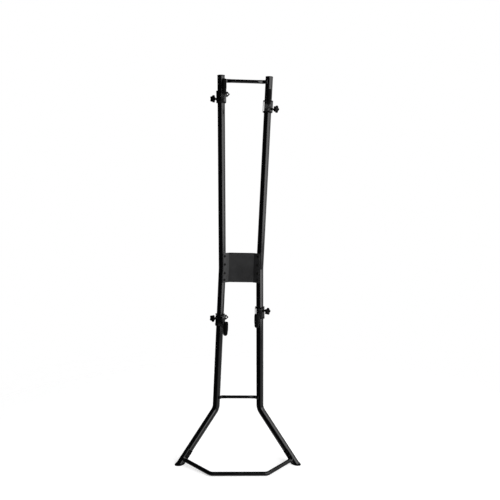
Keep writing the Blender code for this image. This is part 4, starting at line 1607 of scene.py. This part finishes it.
    def flange(self, sign: int) -> Mesh:
        """Make one flange with its tube hole.

        Args:
            sign: 1 for the upper flange, -1 for the lower one.

        Returns:
            The closed mesh.
        """
        low, high = sorted((sign * self.half_height, sign * (self.half_height - self.sheet)))
        deep = (self.flange_front + self.flange_back) / 2.0
        middle = (self.flange_back - self.flange_front) / 2.0
        reaches = []
        for angle in angles_round(72):
            wide_part = abs(math.cos(angle) / self.half_width) ** self.flange_power
            deep_part = abs(math.sin(angle) / deep) ** self.flange_power
            reaches.append((wide_part + deep_part) ** (-1.0 / self.flange_power))
        edge = self.edge
        levels = ((low, edge), (low + edge, 0.0), (high - edge, 0.0), (high, edge))
        rings = [level_ring([reach - inset for reach in reaches], height, middle) for height, inset in levels]
        rings += [level_ring([self.flange_bore + inset] * 72, height) for height, inset in reversed(levels)]
        return loft(rings, hollow=True)

    def bracket(self) -> Mesh:
        """Make the bracket: flanges, inner wall, folded front web and, on the left, the lock lug.

        Returns:
            The closed meshes as one.
        """
        top = self.half_height - self.sheet + self.wall_overlap
        wall = prism(rectangle(self.wall_outside, self.wall_inside, self.wall_half), -top, top)
        parts = [self.flange(-1), self.flange(1), softened(wall, self.edge)]
        normal = Vector((math.sin(self.clamp_angle), math.cos(self.clamp_angle)))
        forward = self.front_web + self.sheet / 2.0
        inner_edge = self.web_edge_left if self.side < 0 else self.web_edge_right
        fold = (self.web_distance - normal.y * forward) / normal.x
        tip = (self.web_distance - normal.x * self.web_tip) / normal.y
        corners = [Vector((inner_edge, forward)), Vector((fold, forward)), Vector((self.web_tip, tip))]
        outline = [(p.x, -p.y) for p in folded_sheet(corners, self.web_fold, self.sheet)]
        parts.append(softened(prism(outline, -top, top), self.edge))
        if self.side < 0:
            lug = prism(self.lug_outline, -self.sheet / 2.0, self.sheet / 2.0)
            hole = Vector((self.lug_hole_x, 0.0, -2.0 * self.sheet))
            lug = drilled(lug, hole, Z_AXIS, 4.0 * self.sheet, self.lug_hole_radius)
            centre = Matrix.Translation((self.lug_x, 0.0, self.lug_z * self.flip))
            turn = centre @ Matrix.Rotation(QUARTER, 4, "X")
            parts.append(placed(softened(lug, self.fine_edge), turn))
        return self.handed(joined(parts))

    def nut(self) -> Mesh:
        """Make the weld nut on the slanted part of the web.

        Returns:
            The closed mesh.
        """
        outward = Vector((math.sin(self.clamp_angle), -math.cos(self.clamp_angle), 0.0))
        face = self.web_distance + self.sheet / 2.0 - self.nut_sunk
        seat = outward * face + Z_AXIS * self.clamp_height
        radius = self.nut_flats / math.sqrt(3.0)
        outline = [(point.x, point.y) for point in level_ring([radius] * 6, 0.0)]
        nut = softened(prism(outline, 0.0, self.nut_height), self.fine_edge, 3)
        return self.handed(placed(nut, aimed(seat, outward)))

    def welds(self) -> Mesh:
        """Lay weld beads between the arm's plate, the arm and the bracket's front web.

        Returns:
            The beads as one mesh.
        """
        x = self.side * self.arm_x
        front = self.root_face - self.root_thickness - self.weld_loop_out
        loop = self.weld_loop
        circle = [Vector((x + loop * math.cos(angle), front, self.arm_z + loop * math.sin(angle)))
                  for angle in angles_round(24)]
        beads = [self.shop.bead(circle, self.weld_spacing, self.weld_loop_radius, True)]
        for height in (-self.weld_z, self.weld_z):
            ends = (x - self.weld_half, x + self.weld_half)
            run = [Vector((end, self.root_face - self.weld_out, height)) for end in ends]
            beads.append(self.shop.bead(run, self.weld_spacing, self.weld_radius, False))
        return joined(beads)

    def arm_path(self) -> list[Aim]:
        """Return the arm's centre line from its plate to its turned up tip.

        Returns:
            Points with the direction of travel.
        """
        root = Vector((self.side * self.arm_x, -self.arm_start, self.arm_z))
        hook = Vector((root.x, -self.arm_reach, self.arm_z))
        return rounded_path([root, hook, hook + Z_AXIS * self.tip_height], [self.hook_radius], 20)

    def arm(self) -> Mesh:
        """Make the arm's tube, its root plate and its welds.

        Returns:
            The closed meshes as one.
        """
        tube = self.shop.tube([point for point, way in self.arm_path()], self.arm_radius, 48)
        x = self.side * self.arm_x
        outline = rectangle(x - self.root_half_width, x + self.root_half_width, self.root_half_height)
        plate = softened(prism(outline, 0.0, self.root_thickness), self.fine_edge)
        turn = Matrix.Translation((0.0, self.root_face, 0.0)) @ Matrix.Rotation(QUARTER, 4, "X")
        return joined([placed(plate, turn), tube, self.welds()])

    def sleeve(self) -> Mesh:
        """Make the rubber sleeve with rolled ends.

        Returns:
            The closed mesh.
        """
        path = self.arm_path()
        start = Vector((path[0][0].x, -self.sleeve_start, self.arm_z))
        points = [(start, path[0][1])] + path[1:-1] + [(self.cap_seat, path[-1][1])]
        inner = self.arm_radius + self.layout.gap
        # The roll of each end is how far along its rings lie, and how much thinner they are.
        roll = self.sleeve_roll
        full = self.sleeve_radius
        first, begin = points[0]
        last, finish = points[-1]
        sections = [(first + begin * shift, begin, full - thinner) for shift, thinner in roll]
        sections += [(point, way, full) for point, way in points[1:-1]]
        sections += [(last - finish * shift, finish, full - thinner) for shift, thinner in roll[::-1]]
        sections += [(point, way, inner) for point, way in reversed(points)]
        rings = []
        for point, way, radius in sections:
            rings.append(ring(point, X_AXIS, way.cross(X_AXIS).normalized(), radius, radius))
        return loft(rings, hollow=True)

    def arm_cap(self) -> Mesh:
        """Make the rubber cup on the arm's tip.

        Returns:
            The closed mesh.
        """
        gap = self.layout.gap
        inner = self.arm_radius + gap
        outer = self.cap_radius
        depth = self.tip_height - self.hook_radius - self.cap_offset
        crown = depth + self.cap_round_up
        profile = [(0.0, depth + gap), (inner, depth + gap), (inner, gap)]
        profile += [(outer - inset, height) for inset, height in self.cap_edge]
        profile += [(outer - inset, share * depth) for inset, share in self.cap_taper]
        start = outer - self.cap_shoulder
        profile += shoulder(start, depth, self.cap_round_in, self.cap_round_up, 8)
        profile += [(self.cap_flat, crown), (0.0, crown)]
        return placed(turned(profile, 56), Matrix.Translation(self.cap_seat))

    def bush(self) -> Mesh:
        """Make the bush: two lipped rings and the rib behind the tube.

        Returns:
            The closed meshes as one.
        """
        upper = [(radius, self.half_height + height) for radius, height in self.bush_profile]
        lower = [(radius, -height) for radius, height in reversed(upper)]
        outline = []
        for radius, angles in ((self.rib_inside, range(70, 111, 5)), (self.rib_outside, range(110, 69, -5))):
            for angle in angles:
                turn = math.radians(angle)
                outline.append((radius * math.cos(turn), radius * math.sin(turn)))
        top = self.half_height - self.rib_inset
        return joined([turned(upper, 72), turned(lower, 72), prism(outline, -top, top)])

    def knob(self) -> Mesh:
        """Make the star knob: five rounded lobes, a dished face and a hub.

        Returns:
            The closed mesh.
        """
        soft = self.knob_back_round
        back = shoulder(self.knob_radius, self.knob_back, soft, -soft, 4)
        soft = self.knob_front_round
        front = shoulder(self.knob_radius, self.knob_front, soft, soft, 6)
        rim = tuple((radius, height, 1.0) for radius, height in back[::-1] + front)
        dips = [self.lobe_depth * (1.0 - math.cos(self.knob_lobes * angle)) for angle in angles_round(120)]
        rings = []
        for radius, height, lobed in self.knob_hub + rim + self.knob_dish:
            rings.append(level_ring([radius * (1.0 - lobed * dip) for dip in dips], height))
        return shade(loft(rings), self.knob_degrees)

    def stud(self) -> Mesh:
        """Make the knob's stud, with a cut thread that tapers in at its tip.

        Returns:
            The closed mesh.
        """
        start = self.layout.tube_radius + self.layout.gap + self.stud_clearance - self.knob_distance
        length = self.stud_end - start
        steps = round(length / (self.thread_pitch / 8.0))
        count = 32
        rings = []
        for step in range(steps + 1):
            height = start + length * step / steps
            taper = self.taper_depth * (1.0 - min(1.0, (height - start) / self.taper_length))
            phases = [(height / self.thread_pitch - turn / count) % 1.0 for turn in range(count)]
            cuts = [self.thread_depth * abs(2.0 * phase - 1.0) for phase in phases]
            rings.append(level_ring([self.stud_radius - cut - taper for cut in cuts], height))
        return shade(loft(rings), self.thread_degrees)

    def build(self) -> None:
        """Build the whole carriage on its bodies."""
        place = self.layout.standing(self.side, self.height)
        place = place @ Matrix.Rotation(math.radians(self.swing) * self.side, 4, "Z")
        outward = Vector((self.side * math.sin(self.clamp_angle), -math.cos(self.clamp_angle), 0.0))
        rise = Z_AXIS * (self.clamp_height * self.flip)
        seat = place @ aimed(outward * (self.layout.tube_radius + self.layout.gap) + rise, outward)
        turn = place @ aimed(outward * self.knob_distance + rise, outward)
        pieces = (
            (self.bush(), place, Slot.PLASTIC, "slider_", "bush_", "slide_bush_"),
            (self.bracket(), place, Slot.STEEL, "carriage_", "bracket_", "clamp_bracket_"),
            (self.nut(), place, Slot.STEEL, "carriage_", "", "weld_nut_"),
            (self.arm(), place, Slot.STEEL, "carriage_", "arm_", "arm_tube_"),
            (self.sleeve(), place, Slot.RUBBER, "carriage_", "arm_sleeve_", "sleeve_"),
            (self.arm_cap(), place, Slot.RUBBER, "carriage_", "arm_cap_", "tip_cap_"),
            (turned(self.pad_profile), seat, Slot.PLASTIC, "pad_", "clamp_pad_", "screw_pad_"),
            (self.knob(), turn, Slot.PLASTIC, "knob_", "knob_", "star_knob_"),
        )
        label = self.label
        for mesh, spot, slot, body, node, name in pieces:
            replaces = [node + label] if node else []
            self.shop.add(placed(mesh, spot), slot, body + label, replaces, name + label)
        stud = placed(self.stud(), turn)
        bolt = self.shop.finishes.bolt
        self.shop.add(stud, Slot.STEEL, "knob_" + label, [], "knob_stud_" + label, bolt)


@dataclass(frozen=True)
class Lamp:
    """A soft rectangular lamp that looks at the rack's middle."""

    name: str
    place: tuple[float, float, float]
    width: float
    height: float
    watts: float

    def add(self) -> None:
        """Put the lamp in the scene."""
        data = bpy.data.lights.new(self.name, "AREA")
        data.shape = "RECTANGLE"
        data.size = self.width
        data.size_y = self.height
        data.energy = self.watts
        turn = (Z_AXIS - Vector(self.place)).to_track_quat("-Z", "Y").to_matrix().to_4x4()
        linked(self.name, data).matrix_world = Matrix.Translation(self.place) @ turn


@dataclass
class Studio:
    """Camera, lamps, white surroundings and the pale floor."""

    eye: tuple[float, float, float] = (-0.1557, -3.45109, 1.5912)
    pitch: float = 6.7569
    yaw: float = 3.2374
    roll: float = 1.3275
    focal_px: float = 654.82
    image_px: float = 500.0
    sensor_mm: float = 36.0
    ambient: float = 0.40
    floor_glow: float = 0.60
    floor_half: float = 3.0

    # Where a glow in a mirror starts and is full, along one axis of the view's direction.
    behind_range: Pair = (0.72, 0.98)
    lit_side_range: Pair = (0.0, 0.4)
    below_range: Pair = (0.0, -0.12)
    near_range: Pair = (-0.35, -0.75)

    lamps: tuple[Lamp, ...] = (
        Lamp("key", (2.30, -2.22, 2.16), 4.1, 2.94, 108.0),
        Lamp("side", (3.1, 0.83, 2.05), 3.0, 2.5, 24.0))

    def camera(self) -> None:
        """Set the camera where the photograph was taken from."""
        pitch, yaw, roll = (math.radians(angle) for angle in (self.pitch, self.yaw, self.roll))
        level = math.cos(pitch)
        forward = Vector((math.sin(yaw) * level, math.cos(yaw) * level, -math.sin(pitch)))
        right = Vector((math.cos(yaw), -math.sin(yaw), 0.0))
        up = right.cross(forward)
        tilted_right = right * math.cos(roll) + up * math.sin(roll)
        tilted_up = up * math.cos(roll) - right * math.sin(roll)
        turn = Matrix((tilted_right, tilted_up, -forward)).transposed().to_4x4()
        data = bpy.data.cameras.new("camera")
        data.sensor_width = self.sensor_mm
        data.lens = self.focal_px * self.sensor_mm / self.image_px
        data.clip_end = 50.0
        camera = linked("camera", data)
        camera.matrix_world = Matrix.Translation(self.eye) @ turn
        bpy.context.scene.camera = camera

    def surroundings(self) -> None:
        """Make the world: white where it is seen and plain grey as light.

        As a reflection it is white behind the rack and dark in front, and it glows where the
        floor would be seen.
        """
        world = bpy.data.worlds.new("white_studio")
        bpy.context.scene.world = world
        world.use_nodes = True
        tree = world.node_tree
        path = add_node(tree, "ShaderNodeLightPath").outputs
        place = add_node(tree, "ShaderNodeTexCoord").outputs["Generated"]
        axes = add_node(tree, "ShaderNodeSeparateXYZ", {0: place}).outputs
        ranges = (("Y", self.behind_range, 1.0), ("X", self.lit_side_range, self.floor_glow))
        ranges += (("Z", self.below_range, 1.0), ("Z", self.near_range, self.floor_glow))
        glows = []
        for axis, (start, end), level in ranges:
            limits = {"Value": axes[axis], "From Min": start, "From Max": end, "To Max": level}
            glow = add_node(tree, "ShaderNodeMapRange", limits, interpolation_type="SMOOTHSTEP")
            glows.append(glow.outputs[0])
        behind, lit_side, below, near = glows
        far = add_node(tree, "ShaderNodeMath", {0: lit_side, 1: below}, operation="MULTIPLY").outputs[0]
        floor = add_node(tree, "ShaderNodeMath", {0: far, 1: near}, operation="MAXIMUM").outputs[0]
        mirror = add_node(tree, "ShaderNodeMath", {0: behind, 1: floor}, operation="MAXIMUM").outputs[0]
        rays = {0: path["Is Camera Ray"], 1: path["Is Transmission Ray"]}
        seen = add_node(tree, "ShaderNodeMath", rays, operation="MAXIMUM").outputs[0]
        lights = {FACTOR: path["Is Glossy Ray"], PLAIN_A: self.ambient, PLAIN_B: mirror}
        light = add_node(tree, "ShaderNodeMix", lights, data_type="FLOAT").outputs[0]
        choices = {FACTOR: seen, PLAIN_A: light, PLAIN_B: 1.0}
        strength = add_node(tree, "ShaderNodeMix", choices, data_type="FLOAT").outputs[0]
        feed(tree, tree.nodes["Background"], {"Color": WHITE, "Strength": strength})

    def floor(self) -> None:
        """Lay the floor."""
        mesh = bpy.data.meshes.new("floor")
        work = bmesh.new()
        bmesh.ops.create_grid(work, x_segments=1, y_segments=1, size=self.floor_half)
        work.to_mesh(mesh)
        work.free()
        mesh.materials.append(PaleFloor().make())
        linked("floor", mesh)

    def build(self) -> None:
        """Build the studio."""
        self.camera()
        self.surroundings()
        self.floor()
        for lamp in self.lamps:
            lamp.add()
        bpy.context.scene.view_settings.view_transform = "Standard"


def main() -> None:
    """Build the rack and the studio in order."""
    logging.basicConfig(level=logging.INFO, format="%(name)s: %(message)s")
    layout = Layout()
    shop = Workshop(Finishes(), NodeKit())
    for assembly in (Uprights, JointPlate, Crossbars, FrontBar, WallPads):
        assembly(layout, shop).build()
    # Each carriage is a level, a side, a height and how many degrees it has swung outwards.
    places = (("upper", -1, 1.9890, -0.8), ("upper", 1, 1.9450, -2.5))
    places += (("lower", -1, 0.7720, -3.6), ("lower", 1, 0.8150, -5.7))
    for level, side, height, swing in places:
        Carriage(layout, shop, level, side, height, swing).build()
    Studio().build()


if __name__ == "__main__":
    main()
